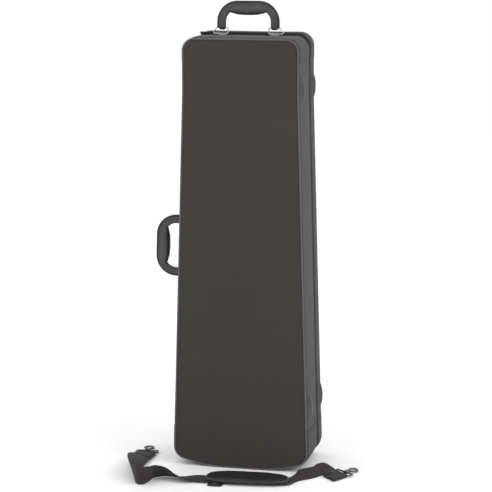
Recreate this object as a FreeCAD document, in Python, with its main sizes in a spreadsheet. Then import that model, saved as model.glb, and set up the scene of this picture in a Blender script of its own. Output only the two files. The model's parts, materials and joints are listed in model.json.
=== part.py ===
"""Oblong violin case standing on its tail end, with its shoulder strap unclipped on the floor in front.

Frame: +Z up (towards the scroll end), +X towards the hinge side, +Y towards the lid.
The origin is on the floor at the middle of the tail end, half way through the depth.
"""
import FreeCAD, Part
import os
import math
import Sketcher
from FreeCAD import Matrix, Placement, Rotation, Vector

doc = FreeCAD.newDocument("violin_case")

# ---------------------------------------------------------------- driving dimensions (mm)
SIZES = [
    ("case_height", 800.0, "floor to the top end of the base"),
    ("head_width", 216.0, "width of the straight part at the top end"),
    ("tail_width", 257.0, "greatest width, near the tail end"),
    ("head_length", 100.0, "length of the parallel part below the top end"),
    ("case_depth", 140.0, "outside of the base panel to outside of the lid panel"),
    ("lid_depth", 42.0, "part of the depth that belongs to the lid"),
    ("lid_proud", 5.0, "how far the lid stands above the base at the top end"),
    ("tail_flat", 124.0, "distance between the corners of the flat that the case stands on"),
    ("tail_rise", 17.0, "rise of the tail end from its flat to its corners"),
    ("tail_bend", 260.0, "radius between the flat and the rising sides"),
    ("corner_radius", 24.0, "outside corner radius of the case"),
    ("cover", 1.5, "thickness of the outer fabric with its backing"),
    ("shell_wall", 6.0, "thickness of the stiff foam and ply shell"),
    ("lining_wall", 2.0, "thickness of the plush lining"),
    ("piping_radius", 2.0, "radius of the piping cord round a panel"),
    ("groove_half", 7.0, "half the width of the groove that the zip lies in"),
    ("groove_depth", 5.6, "depth of the zip groove"),
    ("coil_size", 2.0, "side of the zip coil's section"),
    ("coil_sunk", 1.8, "depth of the coil below the cover"),
    ("coil_gap", 0.15, "half the gap between the closed coils"),
    ("tape_thick", 0.8, "thickness of the zip tape"),
    ("hinge_gap", 0.6, "hinge line outside the cover"),
    ("handle_span", 117.0, "outside width of a handle"),
    ("handle_rise", 64.0, "top of a handle above the wall"),
    ("handle_leg", 14.0, "width of a handle's leg without its binding"),
    ("handle_leg_thick", 10.0, "thickness of a handle's leg"),
    ("handle_thick", 19.0, "thickness of the padded grip"),
    ("handle_bar", 24.0, "height of the padded grip without its binding"),
    ("handle_foot", 11.0, "lower end of a leg above the wall"),
    ("handle_bend", 36.0, "outside bend of a handle without its binding"),
    ("binding", 2.5, "thickness of the stitched binding outside a handle"),
    ("wire_radius", 1.1, "radius of the wire of the rings"),
    ("pivot_height", 3.9, "height of a ring's pivot above the wall"),
    ("pivot_gap", 0.05, "running clearance between a ring's wire and its clip"),
    ("handle_set", 18.0, "distance from the zip to the middle of the handles"),
    ("top_handle_x", -3.0, "middle of the top handle"),
    ("side_handle_z", 404.0, "middle of the side handle"),
    ("dee_z", 221.0, "middle of the dee ring on the side"),
    ("foot_length", 52.0, "length of a foot"),
    ("foot_width", 19.0, "width of a foot"),
    ("foot_height", 7.5, "height of a foot"),
    ("foot_top_z", 708.0, "height of the upper feet"),
    ("foot_low_z", 122.0, "height of the lower feet"),
    ("accessory_z", 640.0, "lower face of the wall of the accessory box"),
    ("cradle_z", 440.0, "lower face of the neck cradle"),
    ("board", 8.0, "thickness of the inner walls"),
    ("neck_slot", 44.0, "width of the notch for the neck"),
    ("webbing_thick", 2.0, "thickness of the shoulder strap's webbing"),
    ("pad_length", 154.0, "length of the shoulder pad"),
    ("pad_width", 60.0, "width of the shoulder pad"),
    ("pad_thick", 9.0, "thickness of the shoulder pad"),
    ("hook_radius", 8.5, "mean radius of a snap hook's ring"),
    ("hook_wire", 1.9, "radius of a snap hook's rod"),
    ("handle_inner_bend", 13.0, "bend at the top of a handle's opening"),
    ("grip_round", 4.0, "rounding along the edges of the padded grip"),
    ("clip_length", 20.0, "length of a ring's clip along the wire's swing"),
    ("clip_thick", 1.2, "thickness of a ring's clip"),
    ("handle_clip_width", 14.6, "width of a handle ring's clip"),
    ("dee_clip_width", 18.0, "width of the dee ring's clip"),
    ("rivet_radius", 1.5, "radius of the rivets and studs"),
    ("rivet_spread", 7.0, "distance of a clip's rivets from its pivot"),
    ("dee_width", 26.0, "width of the dee ring between wire middles"),
    ("dee_drop", 9.0, "height of the dee ring above its pivot"),
    ("dee_bend", 6.0, "bend of the dee ring's outer corners"),
    ("wire_bend", 2.2, "small bends of the rings' wire"),
    ("tail_cushion", 34.0, "height of the cushion at the tail end"),
    ("tail_sink", 6.0, "least thickness of the cushion at the tail end"),
    ("waist_z", 205.0, "lower face of the waist cushions"),
    ("waist_high", 90.0, "height of the waist cushions"),
    ("cover_board", 3.0, "thickness of the accessory box's lid"),
    ("tab_length", 16.0, "length of the ribbon tab on the accessory box's lid"),
    ("tab_thick", 1.0, "thickness of the ribbon tab"),
    ("strap_thick", 1.2, "thickness of the neck strap"),
    ("slider_length", 9.0, "length of a zip slider"),
    ("slider_width", 6.4, "width of a zip slider"),
    ("slider_high", 2.2, "height of a zip slider's deck"),
    ("slider_ride", 0.2, "running clearance between slider and coil"),
    ("lug_length", 3.2, "length of a slider's lug"),
    ("lug_high", 2.6, "height of a slider's lug"),
    ("lug_thick", 1.4, "thickness of a slider's lug"),
    ("pull_pin", 0.65, "radius of a zip pull's pin"),
    ("pull_arm", 14.0, "length of a zip pull's arm"),
    ("pull_tab", 18.0, "length of a zip pull's tab"),
    ("pull_wide", 7.0, "width of a zip pull's tab"),
    ("pull_thick", 4.5, "thickness of a zip pull's tab"),
    ("bow_x", 38.0, "distance of the bows from the middle"),
    ("bow_clip_z", 150.0, "height of the bow clips"),
    ("bow_clip_high", 12.0, "height of a bow clip above the lining"),
    ("bow_clip_radius", 6.0, "radius of a bow clip's knob"),
    ("bow_arm", 30.0, "length of a bow clip's arm"),
    ("bow_arm_wide", 9.0, "width of a bow clip's arm"),
    ("screw_radius", 2.0, "radius of a bow clip's screw"),
    ("tip_pocket_z", 700.0, "lower end of the bow tip pockets"),
    ("tip_pocket_long", 60.0, "length of a bow tip pocket"),
    ("tip_pocket_wide", 34.0, "width of a bow tip pocket"),
    ("tip_pocket_deep", 14.0, "depth of a bow tip pocket"),
    ("pocket_wall", 3.0, "wall of a bow tip pocket"),
    ("frame_long", 44.0, "length of the strap adjuster"),
    ("frame_wide", 22.0, "width of the strap adjuster"),
    ("frame_thick", 2.4, "thickness of the strap adjuster"),
    ("frame_bar", 4.0, "width of the strap adjuster's bars"),
    ("eye_wide", 42.0, "width of a swivel eye across the webbing"),
    ("eye_long", 12.0, "length of a swivel eye along the webbing"),
    ("eye_wire", 1.6, "radius of a swivel eye's wire"),
    ("swivel_radius", 1.8, "radius of a snap hook's shank"),
    ("gate_pin", 1.0, "radius of a gate's pin"),
]
sheet = doc.addObject("Spreadsheet::Sheet", "d")
for row, (alias, value, note) in enumerate(SIZES, start=1):
    sheet.set("A%d" % row, note)
    sheet.set("B%d" % row, str(value))
    sheet.setAlias("B%d" % row, alias)
doc.recompute()


def num(expression):
    """The value of an expression over the sheet's aliases."""
    return float(sheet.evalExpression(str(expression)))


# Derived places, as expressions over the sheet.
FRONT = "(-d.case_depth / 2)"
REAR = "(d.case_depth / 2)"
SPLIT = "(d.case_depth / 2 - d.lid_depth)"
INNER = "(d.cover + d.shell_wall)"
LINED = "(d.cover + d.shell_wall + d.lining_wall)"
HANDLE_Y = "(d.case_depth / 2 - d.lid_depth - d.handle_set)"
nodes = []


def node(item, label):
    """Give a finished sub-part its own name and keep it for export."""
    item.Label = label
    nodes.append(item)
    return item


def placed(shape, place):
    """A copy of a shape, moved from a fitting's own frame to its place on the case."""
    made = shape.copy()
    made.Placement = place.multiply(made.Placement)
    return made


# ---------------------------------------------------------------- helpers for sketches and features
def start_body(name):
    return doc.addObject("PartDesign::Body", name)


def polygon_sketch(body, name, role, offset, corners):
    """Closed outline on an origin plane of its own body.

    The corners are (x, y) or (x, y, radius), all of them expressions.
    """
    plane = [item for item in body.Origin.OriginFeatures if item.Role == role][0]
    sketch = body.newObject("Sketcher::SketchObject", name)
    sketch.AttachmentSupport = [(plane, "")]
    sketch.MapMode = "FlatFace"
    sketch.setExpression("AttachmentOffset.Base.z", offset)
    points = [Vector(num(corner[0]), num(corner[1]), 0) for corner in corners]
    count = len(points)
    for index in range(count):
        sketch.addGeometry(Part.LineSegment(points[index], points[(index + 1) % count]), False)
    for index in range(count):
        sketch.addConstraint(Sketcher.Constraint("Coincident", index, 2, (index + 1) % count, 1))
    for index, corner in enumerate(corners):
        across = sketch.addConstraint(Sketcher.Constraint("DistanceX", -1, 1, index, 1, points[index].x))
        sketch.setExpression("Constraints[%d]" % across, corner[0])
        along = sketch.addConstraint(Sketcher.Constraint("DistanceY", -1, 1, index, 1, points[index].y))
        sketch.setExpression("Constraints[%d]" % along, corner[1])
    doc.recompute()
    for index, corner in enumerate(corners):
        if len(corner) == 3:
            round_corner(sketch, points, index, corner[2])
    doc.recompute()
    return sketch


def round_corner(sketch, points, index, radius):
    """Round one corner of a closed outline, keeping the corner's own dimensions."""
    here = points[index]
    size = num(radius)
    last = (index - 1) % len(points)
    near_last = here + (points[last] - here).normalize() * size * 0.5
    near_next = here + (points[(index + 1) % len(points)] - here).normalize() * size * 0.5
    sketch.fillet(last, index, near_last, near_next, size, True, True)
    arc = sketch.GeometryCount - 2
    bound = sketch.addConstraint(Sketcher.Constraint("Radius", arc, size))
    sketch.setExpression("Constraints[%d]" % bound, radius)


def pad(body, sketch, length):
    feature = body.newObject("PartDesign::Pad", sketch.Name + "_pad")
    feature.Profile = sketch
    feature.setExpression("Length", length)
    doc.recompute()
    return feature


def pocket(body, sketch, length):
    """Cut along the sketch's normal reversed, and make sure that something was cut."""
    before = body.Shape.Volume
    feature = body.newObject("PartDesign::Pocket", sketch.Name + "_pocket")
    feature.Profile = sketch
    feature.setExpression("Length", length)
    doc.recompute()
    if body.Shape.Volume >= before:
        raise RuntimeError(sketch.Name + " cuts nothing")
    return feature


def round_edges(body, radius, chosen):
    """Fillet the edges of the body's tip for which chosen(edge) is true."""
    tip = body.Tip
    names = ["Edge%d" % (index + 1) for index, edge in enumerate(tip.Shape.Edges) if chosen(edge)]
    feature = body.newObject("PartDesign::Fillet", tip.Name + "_round")
    feature.Base = (tip, names)
    feature.setExpression("Radius", radius)
    doc.recompute()
    return feature


# ---------------------------------------------------------------- the outline of the case
def outline(inset, proud="0 * d.cover"):
    """Corners of the outline in X and Z, moved inwards by inset and raised at the top end by proud."""
    flat = "(d.tail_flat / 2)"
    tail = "(d.tail_width / 2 - (%s))" % inset
    head = "(d.head_width / 2 - (%s))" % inset
    low = "(%s)" % inset
    rise = "(d.tail_rise + (%s))" % inset
    bend = "(d.case_height - d.head_length)"
    top = "(d.case_height + (%s) - (%s))" % (proud, inset)
    turn = "(d.corner_radius - (%s))" % inset
    right = [(flat, low, "(d.tail_bend - (%s))" % inset), (tail, rise, turn), (head, bend), (head, top, turn)]
    left = [("-" + corner[0],) + corner[1:] for corner in reversed(right)]
    return right + left


def outline_body(name, layers, holes=()):
    """Solid made of outline layers (inset, y_from, y_to, proud), less outline holes given the same way."""
    body = start_body(name)
    for kind, items in (("layer", layers), ("hole", holes)):
        for index, (inset, y_from, y_to, *proud) in enumerate(items):
            corners = outline(inset, *proud)
            depth = "(%s) - (%s)" % (y_to, y_from)
            if kind == "layer":
                offset = "-(%s)" % y_to
            else:
                offset = "-(%s)" % y_from
            sketch = polygon_sketch(body, "%s_%s%d" % (name, kind, index), "XZ_Plane", offset, corners)
            if kind == "layer":
                pad(body, sketch, depth)
            else:
                pocket(body, sketch, depth)
    return body


def box(name, size, corner):
    """Box with its size and its low corner as expressions."""
    item = doc.addObject("Part::Box", name)
    for prop, value in zip(("Length", "Width", "Height"), size):
        item.setExpression(prop, value)
    for axis, value in zip("xyz", corner):
        item.setExpression("Placement.Base." + axis, value)
    return item


def boolean(kind, name, base, tool):
    item = doc.addObject("Part::" + kind, name)
    item.Base = base
    item.Tool = tool
    return item


def fuse(name, items):
    item = doc.addObject("Part::MultiFuse", name)
    item.Shapes = items
    return item


def group(name, shapes):
    """Several equal solids kept in one sub-part."""
    item = doc.addObject("Part::Feature", name)
    item.Shape = Part.makeCompound(shapes) if len(shapes) > 1 else shapes[0]
    return item


# ---------------------------------------------------------------- shells, covers, linings, zips
BAND_SEAM_LOW = "(3 * d.corner_radius + 5)"
BAND_SEAM_TOP = "(d.case_height - 1.7 * d.corner_radius)"


def half_case(side):
    """One half: side is 'base' (front, deeper) or 'lid' (rear, shallower)."""
    lid = side == "lid"
    face = REAR if lid else FRONT
    out = "-" if lid else "+"
    back = "+" if lid else "-"

    def span(start, stop):
        """Two depths measured inwards from the outer face, in rising order."""
        near = "(%s %s (%s))" % (face, out, start)
        far = "(%s %s (%s))" % (face, out, stop)
        return (far, near) if lid else (near, far)

    depth = "d.lid_depth" if lid else "(d.case_depth - d.lid_depth)"
    rim = "(%s - d.groove_half)" % depth
    proud = ("d.lid_proud",) if lid else ()
    shell = outline_body(side + "_shell",
                         [("2 * d.piping_radius",) + span("d.cover", "2 * d.piping_radius") + proud,
                          ("d.cover",) + span("2 * d.piping_radius", rim) + proud,
                          ("d.groove_depth",) + span(rim, depth)],
                         holes=[(INNER,) + span(INNER, depth)])
    node(shell, side + "_shell")
    lining = outline_body(side + "_lining", [(INNER,) + span(INNER, "(%s - 2)" % depth)],
                          holes=[(LINED,) + span(LINED, "(%s - 2)" % depth)])
    node(lining, side + "_lining")
    panel = outline_body(side + "_panel", [("2 * d.piping_radius",) + span("0 * d.cover", "d.cover") + proud])
    node(panel, side + "_panel")

    ring = outline_body(side + "_band_ring", [("0 * d.cover",) + span("2 * d.piping_radius", rim) + proud],
                        holes=[("d.cover",) + span("2 * d.piping_radius", rim) + proud])
    low_box = box(side + "_tail_room", ("2 * d.tail_width", "2 * d.case_depth", BAND_SEAM_LOW),
                  ("-d.tail_width", "-d.case_depth", "0 * d.cover"))
    top_box = box(side + "_top_room", ("2 * d.tail_width", "2 * d.case_depth", "d.case_height"),
                  ("-d.tail_width", "-d.case_depth", BAND_SEAM_TOP))
    node(boolean("Common", side + "_tail_band", ring, low_box), side + "_tail_band")
    node(boolean("Common", side + "_top_band", ring, top_box), side + "_top_band")
    ends = fuse(side + "_end_rooms", [low_box, top_box])
    node(boolean("Cut", side + "_side_bands", ring, ends), side + "_side_bands")

    # The zip runs round three sides; the hinge side keeps a fabric strip.
    tape_low = "(d.coil_sunk + (d.coil_size - d.tape_thick) / 2)"
    coil_near = span("(%s - d.coil_gap - d.coil_size)" % depth, "(%s - d.coil_gap)" % depth)
    tape_near = span(rim, "(%s - d.coil_gap - d.coil_size)" % depth)
    coil_ring = outline_body(side + "_coil_ring", [("d.coil_sunk",) + coil_near],
                             holes=[("(d.coil_sunk + d.coil_size)",) + coil_near])
    tape_ring = outline_body(side + "_tape_ring", [(tape_low,) + tape_near],
                             holes=[("(%s + d.tape_thick)" % tape_low,) + tape_near])
    hinge_room = box(side + "_hinge_room", ("d.tail_width", "2 * d.case_depth",
                                            "(d.case_height - 4 * d.corner_radius)"),
                     ("0 * d.cover", "-d.case_depth", "(2.2 * d.corner_radius)"))
    node(boolean("Cut", side + "_zip_coil", coil_ring, hinge_room), side + "_zip_coil")
    node(boolean("Cut", side + "_zip_tape", tape_ring, hinge_room), side + "_zip_tape")
    if not lid:
        strip_ring = outline_body("strip_ring", [(tape_low,) + span(rim, "(%s - d.coil_gap)" % depth)],
                                  holes=[("(%s + d.tape_thick)" % tape_low,)
                                         + span(rim, "(%s - d.coil_gap)" % depth)])
        node(boolean("Common", "hinge_strip", strip_ring, hinge_room), "hinge_strip")

    # Piping cord: a round section swept along the outline's edge.
    wire = outline_wire(num("d.piping_radius"), lid, num(face) + (-1 if lid else 1) * num("d.piping_radius"))
    piping = doc.addObject("Part::Feature", side + "_piping")
    piping.Shape = sweep_round(wire, num("d.piping_radius"))
    node(piping, side + "_piping")


def outline_wire(inset, lid, y):
    """The case's outline as a wire in the plane at y, taken from a thin outline solid."""
    proud = "d.lid_proud" if lid else "0 * d.cover"
    corners = outline(str(inset), proud)
    spots = [Vector(num(corner[0]), y, num(corner[1])) for corner in corners]
    radii = [num(corner[2]) if len(corner) == 3 else num("d.head_length") for corner in corners]
    return rounded_wire(spots, radii)


def rounded_wire(points, radii, closed=True):
    """Lines through the points joined by tangent arcs of the given radii."""
    count = len(points)
    parts = []
    starts = []
    ends = []
    for index in range(count):
        here = points[index]
        if radii[index] <= 0 or (not closed and index in (0, count - 1)):
            starts.append(here)
            ends.append(here)
            parts.append(None)
            continue
        before = (points[index - 1] - here).normalize()
        after = (points[(index + 1) % count] - here).normalize()
        half = before.getAngle(after) / 2
        reach = radii[index] / math.tan(half)
        first = here + before * reach
        last = here + after * reach
        middle_way = (before + after).normalize()
        centre = here + middle_way * (radii[index] / math.sin(half))
        starts.append(first)
        ends.append(last)
        parts.append(Part.Arc(first, centre - middle_way * radii[index], last).toShape())
    edges = []
    for index in range(count):
        if parts[index] is not None:
            edges.append(parts[index])
        if closed or index < count - 1:
            edges.append(Part.LineSegment(ends[index], starts[(index + 1) % count]).toShape())
    return Part.Wire(edges)


def sweep_round(wire, radius):
    """Round rod along a wire."""
    first = wire.Edges[0]
    start = first.valueAt(first.FirstParameter)
    heading = first.tangentAt(first.FirstParameter)
    ring = Part.Wire(Part.makeCircle(radius, start, heading))
    return wire.makePipeShell([ring], True, True)


half_case("base")
half_case("lid")


# ---------------------------------------------------------------- inside of the base
LOWER_BOUT_Z = 100
UPPER_BOUT_Z = 400


def inner_boards():
    """Walls and cushions that hold the instrument in the base."""
    floor_y = "(%s + %s)" % (FRONT, LINED)
    depth = "(%s - 4 - (%s))" % (SPLIT, floor_y)

    def across(name, z, thick):
        """A full-width board at height z, following the lined inside of the case."""
        block = outline_body(name + "_block", [("(%s + 0.1)" % LINED, floor_y, "(%s - 4)" % SPLIT)])
        room = box(name + "_room", ("2 * d.tail_width", "2 * d.case_depth", thick),
                   ("-d.tail_width", "-d.case_depth", z))
        return boolean("Common", name + "_cut", block, room)

    node(across("accessory_wall", "d.accessory_z", "d.board"), "accessory_wall")

    cradle = across("cradle", "d.cradle_z", "3 * d.board")
    notch = box("cradle_notch", ("d.neck_slot", "d.case_depth", "6 * d.board"),
                ("-d.neck_slot / 2", "(%s + 0.45 * %s)" % (floor_y, depth), "(d.cradle_z - d.board)"))
    node(boolean("Cut", "neck_cradle", cradle, notch), "neck_cradle")

    tail = across("tail", LINED, "d.tail_cushion")
    hollow = doc.addObject("Part::Cylinder", "tail_hollow")
    bout_radius = "0.62 * d.tail_width"
    hollow.setExpression("Radius", bout_radius)
    hollow.setExpression("Height", "d.case_depth")
    hollow.Placement = Placement(Vector(0, 0, 0), Rotation(Vector(0, 0, 1), Vector(0, 1, 0)))
    hollow.setExpression("Placement.Base.y", "(%s + 2 * d.tail_sink)" % floor_y)
    hollow.setExpression("Placement.Base.z", "(%s + d.tail_sink + %s)" % (LINED, bout_radius))
    node(boolean("Cut", "tail_cushion", tail, hollow), "tail_cushion")

    waist = across("waist", "d.waist_z", "d.waist_high")
    bouts = []
    for name, z in (("lower", LOWER_BOUT_Z), ("upper", UPPER_BOUT_Z)):
        bout = doc.addObject("Part::Cylinder", name + "_bout")
        bout.setExpression("Radius", "0.47 * d.tail_width")
        bout.setExpression("Height", "d.case_depth")
        bout.Placement = Placement(Vector(0, 0, z), Rotation(Vector(0, 0, 1), Vector(0, 1, 0)))
        bout.setExpression("Placement.Base.y", floor_y)
        bouts.append(bout)
    middle = box("waist_middle", ("0.66 * d.tail_width", "d.case_depth", "2 * d.waist_high"),
                 ("-0.33 * d.tail_width", floor_y, "(d.waist_z - d.waist_high / 2)"))
    node(boolean("Cut", "waist_cushions", waist, fuse("bouts", bouts + [middle])), "waist_cushions")

    # Lid of the accessory box: hinged along its straight edge on the hinge side of the case.
    lid_y = "(%s - d.cover_board - 0.5)" % SPLIT
    cover_block = outline_body("accessory_block", [("(%s + 1.5)" % LINED, lid_y, "(%s + d.cover_board)" % lid_y)])
    hinge_x = "(d.head_width / 2 - %s - d.cover_board - 1)" % LINED
    cover_room = box("accessory_room", ("(d.tail_width + %s)" % hinge_x, "d.case_depth", "d.case_height"),
                     ("-d.tail_width", "-d.case_depth / 2", "(d.accessory_z + 3)"))
    node(boolean("Common", "accessory_lid", cover_block, cover_room), "accessory_lid")
    node(box("accessory_tab", ("d.tab_length", "d.tab_thick", "d.tab_length"),
             ("(-d.head_width / 2 + %s + 8)" % LINED, "(%s + d.cover_board)" % lid_y,
              "(d.case_height - d.head_length + d.tab_length)")), "accessory_tab")

    # Strap over the neck: hinged at the left side of the cradle's notch.
    node(box("neck_strap", ("(d.neck_slot + 30)", "d.strap_thick", "2 * d.board"),
             ("(-d.neck_slot / 2 - 15)", "(%s - 2.5 - d.strap_thick)" % SPLIT, "(d.cradle_z + d.board / 2)")),
         "neck_strap")


inner_boards()


# ---------------------------------------------------------------- places on the walls
def wall_x(z):
    """Half-width of the case at height z."""
    low, high = num("d.tail_rise"), num("d.case_height - d.head_length")
    tail, head = num("d.tail_width") / 2, num("d.head_width") / 2
    share = min(max((z - low) / (high - low), 0.0), 1.0)
    return tail + (head - tail) * share


def wall_frame(z, side):
    """Placement of a fitting on a side wall: local Z leaves the wall and local X runs up it."""
    low, high = num("d.tail_rise"), num("d.case_height - d.head_length")
    slope = (num("d.tail_width") - num("d.head_width")) / 2 / (high - low) if z < high else 0.0
    up = Vector(-side * slope, 0, 1).normalize()
    out = up.cross(Vector(0, 1, 0)) * -side
    if out.x * side < 0:
        out = out * -1
    across = out.cross(up)
    frame = Matrix(up.x, across.x, out.x, side * wall_x(z),
                   up.y, across.y, out.y, num(HANDLE_Y),
                   up.z, across.z, out.z, z,
                   0, 0, 0, 1)
    return Placement(frame)


TOP_PLACE = Placement(Vector(num("d.top_handle_x"), num(HANDLE_Y), num("d.case_height")), Rotation())
SIDE_PLACE = wall_frame(num("d.side_handle_z"), -1)
DEE_PLACE = wall_frame(num("d.dee_z"), -1)


# ---------------------------------------------------------------- handles
def handle_profile(body, name, outer, inner, foot, thick):
    """U-shaped pad standing on z = foot, thick across Y; outer and inner are (half-width, top, radius)."""
    corners = [("-(%s)" % outer[0], foot), ("-(%s)" % outer[0],) + outer[1:],
               outer, (outer[0], foot), (inner[0], foot), inner,
               ("-(%s)" % inner[0],) + inner[1:], ("-(%s)" % inner[0], foot)]
    sketch = polygon_sketch(body, name, "XZ_Plane", "-(%s) / 2" % thick, corners)
    return pad(body, sketch, thick)


RING_HALF = 11.0
RING_RISE = 11.0
RING_SPLAY = 7.5


def handle(prefix, place):
    """Padded grip with its binding and its two wire rings, in the wall's own frame."""
    half = "(d.handle_span / 2 - d.binding)"
    inner = "(d.handle_span / 2 - d.binding - d.handle_leg)"
    top = "(d.handle_rise - d.binding)"
    under = "(d.handle_rise - d.binding - d.handle_bar)"
    grip = start_body(prefix + "_grip")
    handle_profile(grip, prefix + "_profile", (half, top, "d.handle_bend"), (inner, under, "d.handle_inner_bend"),
                   "d.handle_foot", "d.handle_leg_thick")
    swell = polygon_sketch(grip, prefix + "_swell", "XZ_Plane", "-d.handle_thick / 2",
                           [("-0.66 * " + inner, "(%s + 1.5)" % under), ("-0.5 * " + inner, "(%s - 1.5)" % top),
                            ("0.5 * " + inner, "(%s - 1.5)" % top), ("0.66 * " + inner, "(%s + 1.5)" % under),
                            ("0.3 * " + inner, "(%s - 2)" % under), ("-0.3 * " + inner, "(%s - 2)" % under)])
    pad(grip, swell, "d.handle_thick")
    limit = num("d.handle_thick") / 2 - 0.05
    round_edges(grip, "d.grip_round", lambda edge: abs(edge.CenterOfMass.y) > limit)
    grip.Placement = place
    node(grip, prefix + "_grip")

    strip = start_body(prefix + "_binding")
    handle_profile(strip, prefix + "_strip", ("d.handle_span / 2", "d.handle_rise", "(d.handle_bend + d.binding)"),
                   (half, top, "d.handle_bend"), "(d.handle_foot + 4)", "0.6 * d.handle_leg_thick")
    strip.Placement = place
    node(strip, prefix + "_binding")

    leg = num("d.handle_span / 2 - d.binding - d.handle_leg / 2")
    pivot = num("d.pivot_height")
    rod = num("d.wire_radius")
    rings = []
    for way in (-1, 1):
        spots = [Vector(way * (leg - RING_HALF), 0, pivot), Vector(way * (leg - RING_HALF), 0, pivot + RING_RISE),
                 Vector(way * (leg + RING_HALF), 0, pivot + RING_RISE),
                 Vector(way * (leg + RING_HALF + RING_SPLAY), 0, pivot)]
        rings.append(sweep_round(rounded_wire(spots, [num("d.wire_bend")] * len(spots)), rod))
    ring_pair = group(prefix + "_rings", rings)
    ring_pair.Placement = place
    node(ring_pair, prefix + "_rings")
    clip_shapes = []
    rivet_shapes = []
    for way in (-1, 1):
        clip, rivets = wire_clip(way * leg, num("d.handle_clip_width"))
        clip_shapes.append(clip)
        rivet_shapes += rivets
    clips = group(prefix + "_clips", clip_shapes)
    clips.Placement = place
    node(clips, prefix + "_clips")
    return [placed(shape, place) for shape in rivet_shapes]


def wire_clip(x, width):
    """Folded metal clip round a ring's pivot wire, with the two rivets that hold it."""
    pivot, thick = num("d.pivot_height"), num("d.clip_thick")
    length, pin = num("d.clip_length"), num("d.rivet_radius")
    bore = num("d.wire_radius") + num("d.pivot_gap")
    outer = bore + thick
    up, along = Vector(0, 0, 1), Vector(1, 0, 0)
    left = x - width / 2
    plate = Part.makeBox(width, length, thick, Vector(left, -length / 2, 0))
    knuckle = Part.makeCylinder(outer, width, Vector(left, 0, pivot), along)
    web = Part.makeBox(width, 2 * outer, pivot, Vector(left, -outer, 0))
    clip = plate.fuse([knuckle, web]).removeSplitter()
    holes = [Part.makeCylinder(bore, width + 2, Vector(left - 1, 0, pivot), along)]
    rivets = []
    for y in (-num("d.rivet_spread"), num("d.rivet_spread")):
        shank = Part.makeCylinder(pin, 2.5 * thick, Vector(x, y, -1.5 * thick), up)
        ball = Part.makeSphere(2 * pin, Vector(x, y, thick - 1.4 * pin), up, 30, 90, 360)
        cap = ball.common(Part.makeBox(6 * pin, 6 * pin, 3 * pin, Vector(x - 3 * pin, y - 3 * pin, thick)))
        holes.append(Part.makeCylinder(pin, 3 * thick, Vector(x, y, -thick), up))
        rivets.append(shank.fuse(cap).removeSplitter())
    return clip.cut(holes), rivets


rivets = handle("top_handle", TOP_PLACE)
rivets += handle("side_handle", SIDE_PLACE)


def side_dee():
    """Dee ring for the shoulder strap, hinged in a clip on the side wall."""
    pivot = num("d.pivot_height")
    half, top = num("d.dee_width") / 2, pivot + num("d.dee_drop")
    small, large = num("d.wire_bend"), num("d.dee_bend")
    spots = [Vector(-half, 0, pivot), Vector(-half, 0, top), Vector(half, 0, top), Vector(half, 0, pivot)]
    loop = rounded_wire(spots, [small, large, large, small])
    ring = group("side_dee_ring", [sweep_round(loop, num("d.wire_radius"))])
    ring.Placement = DEE_PLACE
    node(ring, "side_dee_ring")
    clip, clip_rivets = wire_clip(0, num("d.dee_clip_width"))
    holder = group("side_dee_clip", [clip])
    holder.Placement = DEE_PLACE
    node(holder, "side_dee_clip")
    return [placed(shape, DEE_PLACE) for shape in clip_rivets]


rivets += side_dee()


# ---------------------------------------------------------------- feet on the hinge side
def foot_shape():
    """Lens-shaped foot with a raised ridge; local X is its length and local Z its height."""
    length, width, height = num("d.foot_length"), num("d.foot_width"), num("d.foot_height")

    def lens(share, z):
        half, side = length / 2 * share, width / 2 * share
        upper = Part.Arc(Vector(-half, 0, z), Vector(0, side, z), Vector(half, 0, z)).toShape()
        lower = Part.Arc(Vector(half, 0, z), Vector(0, -side, z), Vector(-half, 0, z)).toShape()
        return Part.Wire([upper, lower])

    base = Part.makeLoft([lens(1.0, 0.0), lens(0.97, 3.0)], True, True)
    ridge = Part.makeLoft([lens(0.90, 3.0), lens(0.62, height * 0.75), lens(0.42, height)], True, True)
    return base.fuse(ridge).removeSplitter()


STUD = 5.0


def feet(side, y):
    """The two feet of one half, with the studs that hold them."""
    shapes = []
    studs = []
    for z in (num("d.foot_low_z"), num("d.foot_top_z")):
        place = wall_frame(z, 1)
        place.Base = Vector(place.Base.x, y, place.Base.z)
        shapes.append(placed(foot_shape(), place))
        stud = Part.makeCylinder(num("d.rivet_radius"), STUD, Vector(0, 0, -STUD), Vector(0, 0, 1))
        studs.append(placed(stud, place))
    node(group(side + "_feet", shapes), side + "_feet")
    return studs


rivets += feet("base", num(FRONT) + 22)
lid_studs = feet("lid", num(REAR) - 21)


def drill(label, shapes):
    """Cut the holes that rivets and studs need out of a wall piece."""
    for index, item in enumerate(nodes):
        if item.Label == label:
            drilled = doc.addObject("Part::Feature", label + "_drilled")
            drilled.Shape = item.Shape.cut(shapes)
            item.Label = label + "_whole"
            drilled.Label = label
            nodes[index] = drilled


doc.recompute()
node(group("base_rivets", rivets), "base_rivets")
node(group("lid_studs", lid_studs), "lid_studs")
for label in ("base_shell", "base_side_bands", "base_top_band"):
    drill(label, rivets)
for label in ("lid_shell", "lid_side_bands", "lid_top_band"):
    drill(label, lid_studs)


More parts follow.
